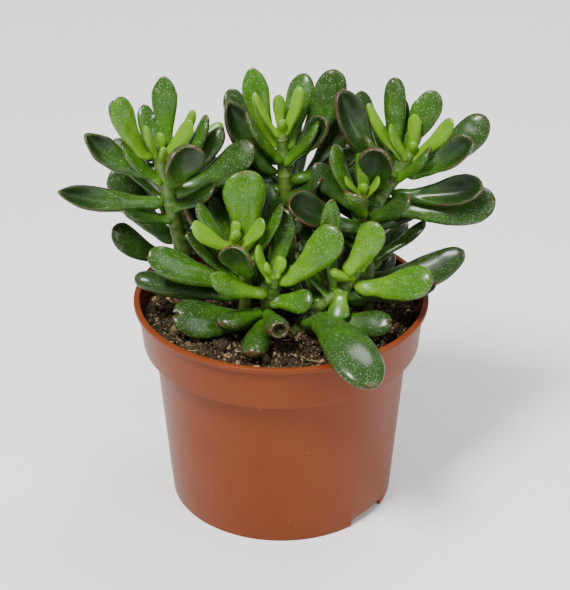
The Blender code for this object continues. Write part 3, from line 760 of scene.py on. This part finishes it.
def pot_material(settings):
    """Terracotta coloured plastic, a little mottled, with faint upright scratches and pale specks."""
    look = Look("pot_plastic", Specular_IOR_Level=0.16)
    where = look.place()
    cloud = look.noise(where, 28.0, 4.0, 0.6)
    mottle = look.noise(where, 240.0, 4.0, 0.65)
    plastic = look.mix(cloud.rise(0.30, 0.72) * 0.55 + mottle * 0.18, settings.plastic, settings.warm)
    scratch = look.noise(look.stretch(where, (1.0, 1.0, 0.035)), 900.0, 2.0, 0.5).rise(0.70, 0.80)
    scratch = scratch * look.noise(where, 46.0, 2.0).rise(0.52, 0.70)
    speck, _ = look.specks(where, 210.0)
    speck = (1.0 - speck.rise(0.05, 0.09)) * look.noise(where, 60.0, 2.0).rise(0.56, 0.62)
    height = mottle * 0.25 + look.noise(where, 1400.0, 3.0) * 0.18 - scratch * 0.5
    return look.wear(
        Base_Color=look.mix(scratch * 0.34 + speck * 0.6, plastic, settings.pale),
        Roughness=settings.roughness + (mottle - 0.5) * 0.14 + scratch * 0.12,
        Normal=look.bump(height, 0.00012, 0.5),
    )


# ---------------------------------------------------------------- settings


def length_of(name, description, default):
    """A length property; the default is in millimetres."""
    return bpy.props.FloatProperty(name=name, description=description, default=default * MM,
                                   subtype="DISTANCE", unit="LENGTH", precision=5)


def share_of(name, description, default):
    """A property between 0 and 1."""
    return bpy.props.FloatProperty(name=name, description=description, default=default, min=0.0, max=1.0,
                                   subtype="FACTOR")


def angle_of(name, description, default):
    """An angle property; the default is in degrees."""
    return bpy.props.FloatProperty(name=name, description=description, default=np.radians(default),
                                   subtype="ANGLE", unit="ROTATION")


def number_of(name, description, default):
    """A plain number property."""
    return bpy.props.FloatProperty(name=name, description=description, default=default)


def count_of(name, description, default):
    """A property that counts things."""
    return bpy.props.IntProperty(name=name, description=description, default=default, min=0)


def colour_of(name, description, default):
    """A colour property."""
    return bpy.props.FloatVectorProperty(name=name, description=description, default=default, size=3,
                                         min=0.0, max=1.0, subtype="COLOR")


class PotSettings(bpy.types.PropertyGroup):
    """Sizes and colours of the pot."""

    radius: length_of("Rim radius", "Outer radius of the lip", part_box("pot")[1][0] / MM)
    height: length_of("Height", "Height of the pot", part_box("pot")[1][2] / MM)
    lip: length_of("Lip width", "Width of the flat top of the lip", 2.5)
    lip_height: length_of("Lip height", "Height of the lip's outer edge", 1.9)
    collar_top: length_of("Collar top radius", "Radius of the collar just under the lip", 58.2)
    collar_foot: length_of("Collar foot radius", "Radius of the collar at its lower edge", 56.7)
    collar_height: length_of("Collar foot height", "Height of the collar's lower edge", 70.8)
    body_top: length_of("Body top radius", "Radius of the body under the collar", 52.05)
    body_foot: length_of("Body foot radius", "Radius of the body at the ground", 46.6)
    wall: length_of("Wall", "Thickness of the wall", 1.0)
    arch_width: length_of("Arch width", "Width of each drainage arch", 20.0)
    arch_height: length_of("Arch height", "Height of each drainage arch", 3.4)
    plastic: colour_of("Plastic", "Main colour of the plastic", (0.142, 0.0268, 0.0050))
    warm: colour_of("Warm plastic", "Lighter patches of the plastic", (0.178, 0.0385, 0.0078))
    pale: colour_of("Scratches", "Colour of scratches and specks", (0.34, 0.17, 0.10))
    roughness: share_of("Roughness", "Roughness of the plastic", 0.40)


class SoilSettings(bpy.types.PropertyGroup):
    """Amounts and colours of the soil."""

    crumbs: count_of("Crumbs", "How many loose crumbs lie on top", 6200)
    lumps: count_of("Lumps", "How many larger lumps lie on top", 300)
    fibres: count_of("Fibres", "How many fibres lie on top", 120)
    dark: colour_of("Dark peat", "Colour of the ground", (0.006, 0.0045, 0.0025))
    brown: colour_of("Brown peat", "Colour of most crumbs", (0.040, 0.026, 0.011))
    light: colour_of("Light peat", "Colour of dry crumbs", (0.150, 0.100, 0.046))
    straw: colour_of("Straw", "Colour of straw and bark bits", (0.38, 0.275, 0.145))


class StemSettings(bpy.types.PropertyGroup):
    """Colours and details of the stems."""

    green: colour_of("Green", "Main colour of the stems", (0.048, 0.104, 0.009))
    pale: colour_of("Pale green", "Paler patches", (0.092, 0.165, 0.018))
    bark: colour_of("Bark", "Colour of the older stem", (0.050, 0.062, 0.017))
    scar: colour_of("Scar", "Colour of the leaf scars", (0.036, 0.024, 0.011))
    joint: length_of("Joint swelling", "How far a joint stands out", 0.28)
    joint_step: length_of("Joint step", "Distance from one joint to the next", 9.5)


class LeafSettings(bpy.types.PropertyGroup):
    """Colours and details of the leaves."""

    young: colour_of("Young", "Colour of the youngest leaves", (0.135, 0.285, 0.010))
    fresh: colour_of("Fresh", "Colour of fresh leaves", (0.050, 0.150, 0.005))
    grown: colour_of("Grown", "Colour of grown leaves", (0.019, 0.056, 0.005))
    old: colour_of("Old", "Colour of old leaves", (0.0075, 0.0170, 0.0026))
    bloom: colour_of("Bloom", "Colour of the grey bloom", (0.050, 0.088, 0.024))
    margin: colour_of("Margin", "Colour of the edges and rims", (0.080, 0.021, 0.011))
    blush: colour_of("Blush", "Red-brown cast on the undersides of old leaves", (0.050, 0.024, 0.010))
    # Painted shade inside dipped and hollow leaves.
    pit: colour_of("Hollow", "Colour inside a hollow leaf", (0.006, 0.016, 0.004))
    dot: colour_of("Dots", "Colour of the pale dots", (0.40, 0.52, 0.32))
    dots: number_of("Dot spacing", "Dots in a metre", 1500.0)
    roughness: share_of("Roughness", "Roughness of the skin", 0.28)
    unevenness: length_of("Unevenness", "How far the skin rises and sinks", 0.16)
    edge_ridge: length_of("Edge ridge", "How far the edges stand out", 0.16)
    groove: share_of("Groove", "Depth of the groove down the upper side, as a share of the width", 0.03)
    clasp_spread: share_of("Clasp spread", "How much wider the foot is where it meets the stem", 0.45)
    clasp_depth: length_of("Clasp depth", "How far the foot reaches into the stem", 1.3)
    back_from: number_of("Back leaves from", "Compass direction where the back leaves start, in degrees", 10.0)
    back_to: number_of("Back leaves to", "Compass direction where the back leaves end, in degrees", 175.0)


class StageSettings(bpy.types.PropertyGroup):
    """Camera, light and floor."""

    distance: length_of("Distance", "Camera's distance in front of the pot's axis", 600.0)
    camera_height: length_of("Camera height", "Camera's height above the floor", 422.9)
    aside: length_of("Aside", "Camera's distance to the right of the pot's axis", 1.55)
    pitch: angle_of("Pitch", "How far the camera looks down", 29.08)
    lens: number_of("Lens", "Focal length in millimetres", 102.84)
    floor: colour_of("Floor", "Colour of the floor", (0.93, 0.93, 0.93))
    light: number_of("Light", "Strength of the lights", 0.97)


# ---------------------------------------------------------------- operators


class JADE_OT_pot(bpy.types.Operator):
    """Build the nursery pot"""

    bl_idname = "jade.pot"
    bl_label = "Pot"

    @staticmethod
    def rounded(outline):
        """An outline whose corners (radius, height, rounding) are made arcs that touch both of their sides."""
        corners = np.array(outline)[:, :2]
        t = np.linspace(0, 1, 7)[:, None]
        rows = [corners[:1]]
        for k in range(1, len(corners) - 1):
            corner = corners[k]
            before, after = unit(corners[k - 1] - corner), unit(corners[k + 1] - corner)
            start, end = corner + before * outline[k][2], corner + after * outline[k][2]
            rows.append((1 - t) ** 2 * start + 2 * t * (1 - t) * corner + t**2 * end)
        rows.append(corners[-1:])
        return np.concatenate(rows)

    @staticmethod
    def outline(s):
        """Corners (radius, height, rounding) from the middle of the underside, up outside and down inside."""
        lip_foot = s.height - s.lip_height
        inner = s.radius - s.lip
        slope = (s.body_top - s.body_foot) / s.collar_height
        ring = s.body_foot - s.wall
        return [
            (0.0, 0.0, 0), (MIDDLE_EDGE, 0.0, 0.8 * MM), (RAISED_EDGE, CHANNEL, 0.8 * MM),
            (ring, CHANNEL, 0.15 * MM), (ring, 0.0, 0.3 * MM), (s.body_foot, 0.0, 0.3 * MM),
            (s.body_foot + slope * 8 * MM, 8 * MM, 0.1 * MM),
            (s.body_foot + slope * 36 * MM, 36 * MM, 0.1 * MM),
            (s.body_top, s.collar_height - 0.6 * MM, 0.5 * MM),
            (s.collar_foot - 0.1 * MM, s.collar_height - 0.3 * MM, 0.45 * MM),
            (s.collar_foot * 0.5 + s.collar_top * 0.5, (s.collar_height + lip_foot) / 2, 0.1 * MM),
            (s.collar_top, lip_foot - 0.3 * MM, 0.5 * MM), (s.radius, lip_foot, 0.6 * MM),
            (s.radius, s.height, 0.7 * MM), (inner, s.height, 0.6 * MM),
            (inner - 0.3 * MM, s.height - 3 * MM, 0.3 * MM),
            (s.collar_foot - s.wall, s.collar_height + 0.7 * MM, 0.5 * MM),
            (s.body_top - s.wall, s.collar_height - 1.2 * MM, 0.4 * MM),
            (ring + slope * 5 * MM, CHANNEL + FLOOR, 0.8 * MM),
            (RAISED_EDGE, CHANNEL + FLOOR, 0.8 * MM), (MIDDLE_EDGE, FLOOR, 0.8 * MM), (0.0, FLOOR, 0),
        ]

    def execute(self, context):
        """Turns the outline round the axis, and lifts the foot ring at each arch by a flat-topped curve."""
        s = context.scene.jade_pot
        centres = np.radians(ARCHES)
        half = s.arch_width / 2 / s.body_foot
        near_edges = centres[:, None, None] + np.array((-half, half))[:, None] + np.linspace(-0.03, 0.03, 9)
        turns = np.unique(np.round(np.concatenate((turns_of(240), near_edges.ravel() % FULL_TURN)), 5))
        away = np.abs((turns[:, None] - centres + np.pi) % FULL_TURN - np.pi) / half
        arch = s.arch_height * np.clip(1 - away**9, 0, 1).max(1) ** (1 / 2.2)
        radius, height = self.rounded(self.outline(s))[1:-1].T[..., None]
        foot_ring = np.where((radius > s.body_foot - 1.5 * MM) & (height < 12 * MM), 1.0, 0.0)
        roof = np.where(radius < s.body_foot - 0.5 * MM, CHANNEL, 8.2 * MM)
        z = height + foot_ring * arch * np.clip(1 - height / roof, 0, 1)
        mould_line = 0.06 * MM * np.exp(-(((turns - np.radians(MOULD_LINE)) / 0.006) ** 2))
        radius = radius + mould_line * (height > s.collar_height)
        grid = np.stack((radius * np.cos(turns), radius * np.sin(turns), z), -1)
        points = np.concatenate(((0, 0, 0.0), grid.ravel(), (0, 0, FLOOR))).reshape(-1, 3)
        faces = tube_faces(len(grid), len(turns))
        pot = make_piece("nursery_pot", points, *faces, pot_material(s), "terracotta_plastic", node="pot",
                         sharp=50)
        for hole in range(DRAIN_HOLES):
            self.drain(pot, np.radians(DRAIN_FIRST + 360 / DRAIN_HOLES * hole))
        return {"FINISHED"}

    @staticmethod
    def drain(pot, turn):
        """Cuts a round drain hole through the raised part of the floor."""
        turns = turns_of(32)
        ring = np.stack((np.cos(turns), np.sin(turns), np.zeros(32)), -1) * DRAIN_RADIUS
        ring = ring + DRAIN_CIRCLE * np.array((np.cos(turn), np.sin(turn), 0))
        rows = np.stack((ring + (0, 0, CHANNEL - 2 * MM), ring + (0, 0, CHANNEL + FLOOR + 2 * MM)))
        ends = rows.mean(1)
        points = np.concatenate((ends[:1], rows.reshape(-1, 3), ends[1:]))
        quads, triangles = tube_faces(2, 32)
        mesh = bpy.data.meshes.new("drain")
        mesh.from_pydata(points.tolist(), [], quads.tolist() + triangles.tolist())
        cutter = bpy.data.objects.new("drain", mesh)
        bpy.context.scene.collection.objects.link(cutter)
        modifier = pot.modifiers.new("drain", "BOOLEAN")
        modifier.operation = "DIFFERENCE"
        modifier.solver = "EXACT"
        modifier.object = cutter
        with bpy.context.temp_override(object=pot, active_object=pot):
            bpy.ops.object.modifier_apply(modifier=modifier.name)
        bpy.data.objects.remove(cutter)


class JADE_OT_soil(bpy.types.Operator):
    """Build the soil with its crumbs, lumps and fibres"""

    bl_idname = "jade.soil"
    bl_label = "Soil"

    def height_at(self, x, y):
        """Height of the soil at x, y: an average of the solid soil's top corners, weighted by nearness."""
        away = (x[..., None] - self.top[:, 0]) ** 2 + (y[..., None] - self.top[:, 1]) ** 2 + (1.5 * MM) ** 2
        weight = away**-2
        return (weight * self.top[:, 2]).sum(-1) / weight.sum(-1)

    @staticmethod
    def balls(rng, centres, sizes, detail):
        """Lumpy balls: an icosahedron, divided `detail` times, with each corner moved in or out at random."""
        mesh = bpy.data.meshes.new("ball")
        shape = bmesh.new()
        bmesh.ops.create_icosphere(shape, subdivisions=detail + 1, radius=1.0)
        shape.to_mesh(mesh)
        shape.free()
        corners, faces = corners_and_triangles(mesh)
        bpy.data.meshes.remove(mesh)
        count = len(centres)
        bumps = 1 + rng.uniform(-0.32, 0.32, (count, len(corners), 1))
        squash = rng.uniform(0.55, 1.25, (count, 1, 3))
        turn = np.linalg.qr(rng.normal(size=(count, 3, 3)))[0]
        shapes = (corners * bumps * squash) @ turn * sizes[:, None, None]
        mirrored = np.linalg.det(turn) < 0
        all_faces = faces[None] + np.arange(count)[:, None, None] * len(corners)
        all_faces[mirrored] = all_faces[mirrored][:, :, ::-1]
        return (shapes + centres[:, None]).reshape(-1, 3), all_faces.reshape(-1, 3), len(corners)

    def execute(self, context):
        """Builds the ground, then scatters the loose bits over it."""
        s = context.scene.jade_soil
        self.rng = np.random.default_rng(SEED)
        self.material = soil_material(s)
        points, _ = welded("soil")
        self.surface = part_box("soil")[1][2]
        reach = np.hypot(points[:, 0], points[:, 1])
        on_top = (points[:, 2] > self.surface - SOIL_SKIRT) & ((reach > 5 * MM) | (reach < 1 * MM))
        self.top = points[on_top]
        self.edge = np.hypot(self.top[:, 0], self.top[:, 1]).max()
        self.ground()
        for name, setting, small, large, detail, tones in LOOSE_BITS:
            self.loose_bits(name, getattr(s, setting), small, large, detail, tones)
        self.fibres(s.fibres)
        return {"FINISHED"}

    def ground(self):
        """Rings of points that grow as the sine of an even step, at the soil's height plus random waves."""
        rng, rows, columns = self.rng, 110, 300
        turns = turns_of(columns)
        radius = self.edge * np.sin(np.linspace(1, 0.004, rows) * np.pi / 2)[:, None]
        x, y = radius * np.cos(turns), radius * np.sin(turns)
        z = self.height_at(x, y)
        flat = np.stack((x, y, z * 0), -1)
        rough = waves_over(flat, rng, 9 * MM) * 0.45 + waves_over(flat, rng, 4 * MM) * 0.38
        rough = rough + waves_over(flat, rng, 1.8 * MM, 11) * 0.30
        rough = rough + rng.normal(size=x.shape) * 0.10
        z = z + rough * MM - 0.6 * MM
        foot = self.surface - SOIL_SKIRT
        side = np.stack((x[:1] * 0.995, y[:1] * 0.995, z[:1] * 0 + foot), -1)
        grid = np.concatenate((side, np.stack((x, y, z), -1)))
        points = np.concatenate(((0, 0, foot), grid.ravel(), (0, 0, z[-1].mean()))).reshape(-1, 3)
        tone = np.concatenate(((0.1,), np.repeat(0.1, columns), (0.22 + 0.12 * rough).ravel(), (0.1,)))
        faces = tube_faces(len(grid), columns)
        make_piece("soil_ground", points, *faces, self.material, "peat_soil", {"tone": tone}, node="soil")

    def loose_bits(self, name, count, small, large, detail, tones):
        """Lumpy balls spread evenly over the round ground, most of them small and dark."""
        rng = self.rng
        turn = rng.uniform(0, FULL_TURN, count)
        far = (self.edge - large * MM) * np.sqrt(rng.uniform(0.02, 1, count))
        x, y = far * np.cos(turn), far * np.sin(turn)
        size = (small + (large - small) * rng.uniform(0, 1, count) ** 2.2) * MM
        z = self.height_at(x, y) + size * rng.uniform(-0.25, 0.5, count) - 0.3 * MM
        points, faces, corners = self.balls(rng, np.stack((x, y, z), -1), size, detail)
        tone = tones[0] + (tones[1] - tones[0]) * rng.uniform(0, 1, count) ** 1.8
        quads = np.empty((0, 4), int)
        values = {"tone": np.repeat(tone, corners)}
        make_piece(name, points, quads, faces, self.material, "peat_soil", values)

    def fibres(self, count):
        """Thin bent straws lying on the soil, each a tube of five sides along an arc."""
        rng, bunch, turns = self.rng, Bunch(), turns_of(5)
        t = np.linspace(-0.5, 0.5, 8)
        for _ in range(count):
            far = self.edge * 0.93 * np.sqrt(rng.uniform(0.05, 1))
            turn, way = rng.uniform(0, FULL_TURN), rng.uniform(0, FULL_TURN)
            size, bend = rng.uniform(2.5, 7.0) * MM, rng.uniform(-1.2, 1.2)
            x = far * np.cos(turn) + size * t * np.cos(way + bend * t)
            y = far * np.sin(turn) + size * t * np.sin(way + bend * t)
            keep = np.minimum(1, (self.edge - 0.6 * MM) / np.hypot(x, y).max())
            x, y = x * keep, y * keep
            tilt = 0.5 * MM * rng.uniform(0, 1) * (t + 0.5)
            line = np.stack((x, y, self.height_at(x, y) + 0.25 * MM + tilt), -1)
            ahead = unit(np.gradient(line, axis=0))
            side = unit(np.cross(ahead, (0, 0, 1.0)))[1:-1, None]
            over = np.cross(side, ahead[1:-1, None])
            thick = rng.uniform(0.10, 0.28) * MM
            rows = line[1:-1, None] + thick * (np.cos(turns)[:, None] * side + np.sin(turns)[:, None] * over)
            points = np.concatenate((line[:1], rows[:, ::-1].reshape(-1, 3), line[-1:]))
            bunch.add(points, len(rows), 5, {"tone": rng.uniform(0.55, 1.0)})
        bunch.piece("soil_fibres", self.material, "peat_soil")


class JADE_OT_stems(bpy.types.Operator):
    """Build the stems with their joints and leaf scars"""

    bl_idname = "jade.stems"
    bl_label = "Stems"

    def execute(self, context):
        """Makes each stem's net finer, and swells it in a narrow bell at each joint."""
        s = context.scene.jade_stem
        material = stem_material(s)
        for order, name in enumerate(YOUNG_LEAVES):
            rng = np.random.default_rng(SEED + order)
            stem = Stem(name)
            rows = longer(rounder(stem.rings, STEM_COLUMNS), stem.foot, stem.tip, STEM_ROWS)
            reach = reach_along(rows.mean(1))
            beat = (reach / (s.joint_step * (1 + 0.12 * np.sin(reach / (5 * MM))))) % 1.0
            scar = np.exp(-((np.minimum(beat, 1 - beat) / 0.05) ** 2))
            height = s.joint * scar[:, None] + 0.10 * MM * waves_over(rows, rng, 4 * MM)
            fade = np.clip((len(rows) - np.arange(len(rows))) / 10, 0, 1)[:, None]
            rows = rows + normals_of(rows) * (height * fade)[..., None]
            points = np.concatenate((stem.foot[None], rows.reshape(-1, 3), stem.tip[None]))
            values = {
                "high": np.concatenate(((0,), np.repeat(reach / reach[-1], STEM_COLUMNS), (1,))),
                "scar": np.concatenate(((0,), np.repeat(scar, STEM_COLUMNS), (0,))),
            }
            faces = tube_faces(len(rows), STEM_COLUMNS)
            make_piece(name + "_stem", points, *faces, material, "green_stem", values, node="stem_" + name)
        return {"FINISHED"}


class JADE_OT_leaves(bpy.types.Operator):
    """Build the grown leaves over their solids"""

    bl_idname = "jade.leaves"
    bl_label = "Leaves"

    def execute(self, context):
        """Reads each leaf's net from the end at its stem; a tube's rings turn back inwards past its mouth."""
        s = context.scene.jade_leaf
        material = leaf_material(s)
        stems = {name: Stem(name) for name in YOUNG_LEAVES}
        for order, node in enumerate(sorted(n for n in NODES if n.startswith("leaf_"))):
            name, number = node[5:].rsplit("_", 1)
            rng = np.random.default_rng(SEED + 100 + order)
            rings, foot, tip = control_net(node, stems[name].nearest(welded(node)[0]))
            middles = rings.mean(1)
            outer = int(np.argmax((middles - foot) @ unit(middles[-3] - foot))) + 1
            if outer >= len(rings) - 1:
                outer = len(rings) + 1
            age, bloom, point = LEAF_LOOKS[name][int(number) - 1]
            points, rows, values = leaf_surface((rings, foot, tip), outer, rng, s, point)
            values.update(age=np.full(len(points), age), bloom=np.full(len(points), bloom))
            faces = tube_faces(rows, LEAF_COLUMNS)
            make_piece(f"{name}_leaf_{number}", points, *faces, material, "leaf_" + name, values, node=node)
        return {"FINISHED"}


class JADE_OT_young_leaves(bpy.types.Operator):
    """Build the small young leaves round each growing tip"""

    bl_idname = "jade.young_leaves"
    bl_label = "Young leaves"

    def execute(self, context):
        """Makes one mesh for each stem from its rows of the table."""
        s = context.scene.jade_leaf
        for name, leaves in YOUNG_LEAVES.items():
            stem, bunch = Stem(name), Bunch()
            rng = np.random.default_rng(SEED + 500 + len(name))
            for below, compass, rise, size, width, form, age, roll in leaves:
                net = young_net(stem, below, compass, rise, size, width, form, roll)
                points, rows, values = leaf_surface(net, len(net[0]) + 1, rng, s)
                values.update(age=age, bloom=0.05 + 0.3 * max(age - 0.5, 0.0))
                bunch.add(points, rows, LEAF_COLUMNS, values)
            bunch.piece(name + "_young_leaves", bpy.data.materials["leaf_skin"], "leaf_" + name)
        return {"FINISHED"}


class JADE_OT_back_leaves(bpy.types.Operator):
    """Build small leaves where the stems still have room for them"""

    bl_idname = "jade.back_leaves"
    bl_label = "Back leaves"

    @staticmethod
    def roomiest(s, rng, start, depth, taken):
        """The freest of several random leaves: its room, direction, rise and length.

        The room is the distance from the outer part of the leaf's line to the nearest taken point, and a long
        leaf gets a little more. A leaf rises less the further it is under the growing tip.
        """
        best = None
        for compass in rng.uniform(s.back_from, s.back_to, BACK_TRIES):
            rise = np.clip(66 - 1.1 * depth + rng.uniform(-8, 8), 6, 70)
            heading, _ = directions(compass, rise)
            size = rng.uniform(22, 34)
            line = start + heading * np.linspace(0.45, 1.0, 8)[:, None] * size * MM
            space = np.linalg.norm(line[:, None] - taken, axis=2).min() + 0.002 * MM * size
            if best is None or space > best[0]:
                best = (space, compass, rise, size)
        return best

    def execute(self, context):
        """Tries a leaf at each depth on each stem, as wide as its room lets it be."""
        s = context.scene.jade_leaf
        rng = np.random.default_rng(SEED + 900)
        solids = [welded(node)[0] for node in sorted(NODES) if node.startswith(("leaf_", "stem_", "pot"))]
        taken = np.concatenate(solids)
        for name in YOUNG_LEAVES:
            stem, bunch = Stem(name), Bunch()
            for depth in BACK_DEPTHS:
                start, _ = stem.below(depth)
                if start[2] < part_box("soil")[1][2] + BACK_CLEARANCE:
                    continue
                space, compass, rise, size = self.roomiest(s, rng, start, depth, taken)
                width = np.clip(space / MM * 2.2, 0.0, BACK_WIDEST)
                if width < BACK_NARROWEST:
                    continue
                net = young_net(stem, depth, compass, rise, size, width, "spoon", 0.0)
                points, rows, values = leaf_surface(net, len(net[0]) + 1, rng, s)
                values.update(age=0.45 + 0.011 * depth, bloom=0.3)
                bunch.add(points, rows, LEAF_COLUMNS, values)
                taken = np.concatenate((taken, points[::9]))
            if bunch.points:
                bunch.piece(name + "_back_leaves", bpy.data.materials["leaf_skin"], "leaf_" + name)
        return {"FINISHED"}


class JADE_OT_stage(bpy.types.Operator):
    """Set up the floor, the lights and the camera"""

    bl_idname = "jade.stage"
    bl_label = "Stage"

    @staticmethod
    def area_light(name, place, size, power):
        """A rectangular light that faces the plant."""
        light = bpy.data.lights.new(name, "AREA")
        light.shape = "RECTANGLE"
        light.size, light.size_y = size
        light.energy = power
        lamp = bpy.data.objects.new(name, light)
        lamp.location = place
        way = np.array(LIGHT_AIM) - np.array(place)
        tilt = np.arctan2(np.hypot(way[0], way[1]), -way[2])
        lamp.rotation_euler = (tilt, 0, np.arctan2(way[1], way[0]) - np.pi / 2)
        bpy.context.scene.collection.objects.link(lamp)

    def execute(self, context):
        """Places the camera, the pale floor, the lights and the white surroundings."""
        s = context.scene.jade_stage
        camera = bpy.data.cameras.new("camera")
        camera.lens = s.lens
        camera.sensor_width = 36.0
        eye = bpy.data.objects.new("camera", camera)
        eye.location = (s.aside, -s.distance, s.camera_height)
        eye.rotation_euler = (np.pi / 2 - s.pitch, 0, 0)
        context.scene.collection.objects.link(eye)
        context.scene.camera = eye
        look = Look("floor_paper", Roughness=0.9)
        tint = look.mix(look.noise(look.place(), 9.0, 2.0) * 0.03, s.floor, (0.86, 0.86, 0.86))
        corners = [(x * FLOOR_REACH, y * FLOOR_REACH, 0) for x, y in ((-1, -1), (1, -1), (1, 1), (-1, 1))]
        mesh = bpy.data.meshes.new("floor")
        mesh.from_pydata(corners, [], [(0, 1, 2, 3)])
        mesh.materials.append(look.wear(Base_Color=tint))
        floor = bpy.data.objects.new("floor", mesh)
        context.scene.collection.objects.link(floor)
        for name, place, size, power in LIGHTS:
            self.area_light(name, place, size, power * s.light)
        world = bpy.data.worlds.new("studio")
        world.use_nodes = True
        background = world.node_tree.nodes["Background"]
        background.inputs["Color"].default_value = (1, 1, 1, 1)
        background.inputs["Strength"].default_value = SURROUNDINGS * s.light
        context.scene.world = world
        return {"FINISHED"}


class JADE_PT_panel(bpy.types.Panel):
    """Lists the pieces of the plant and their settings"""

    bl_idname = "JADE_PT_panel"
    bl_label = "Potted Jade Plant"
    bl_space_type = "VIEW_3D"
    bl_region_type = "UI"
    bl_category = "Jade Plant"

    def draw(self, context):
        """Draws a box for each group, with its buttons and its settings."""
        for group, operators in PANEL_ROWS:
            box = self.layout.box()
            for operator in operators:
                box.operator(operator.bl_idname)
            settings = getattr(context.scene, group)
            for key in settings.__annotations__:
                box.prop(settings, key)


GROUPS = {
    "jade_pot": PotSettings,
    "jade_soil": SoilSettings,
    "jade_stem": StemSettings,
    "jade_leaf": LeafSettings,
    "jade_stage": StageSettings,
}
PANEL_ROWS = (
    ("jade_pot", (JADE_OT_pot,)),
    ("jade_soil", (JADE_OT_soil,)),
    ("jade_stem", (JADE_OT_stems,)),
    ("jade_leaf", (JADE_OT_leaves, JADE_OT_young_leaves, JADE_OT_back_leaves)),
    ("jade_stage", (JADE_OT_stage,)),
)
CLASSES = tuple(GROUPS.values()) + tuple(o for _, row in PANEL_ROWS for o in row) + (JADE_PT_panel,)


def register():
    """Adds the settings, the operators and the panel to Blender."""
    for made in CLASSES:
        bpy.utils.register_class(made)
    for name, group in GROUPS.items():
        setattr(bpy.types.Scene, name, bpy.props.PointerProperty(type=group))


def unregister():
    """Takes them away again."""
    for name in GROUPS:
        delattr(bpy.types.Scene, name)
    for made in reversed(CLASSES):
        bpy.utils.unregister_class(made)


def main():
    register()
    bpy.ops.jade.pot()
    bpy.ops.jade.soil()
    bpy.ops.jade.stems()
    bpy.ops.jade.leaves()
    bpy.ops.jade.young_leaves()
    bpy.ops.jade.back_leaves()
    bpy.ops.jade.stage()


if __name__ == "__main__":
    main()
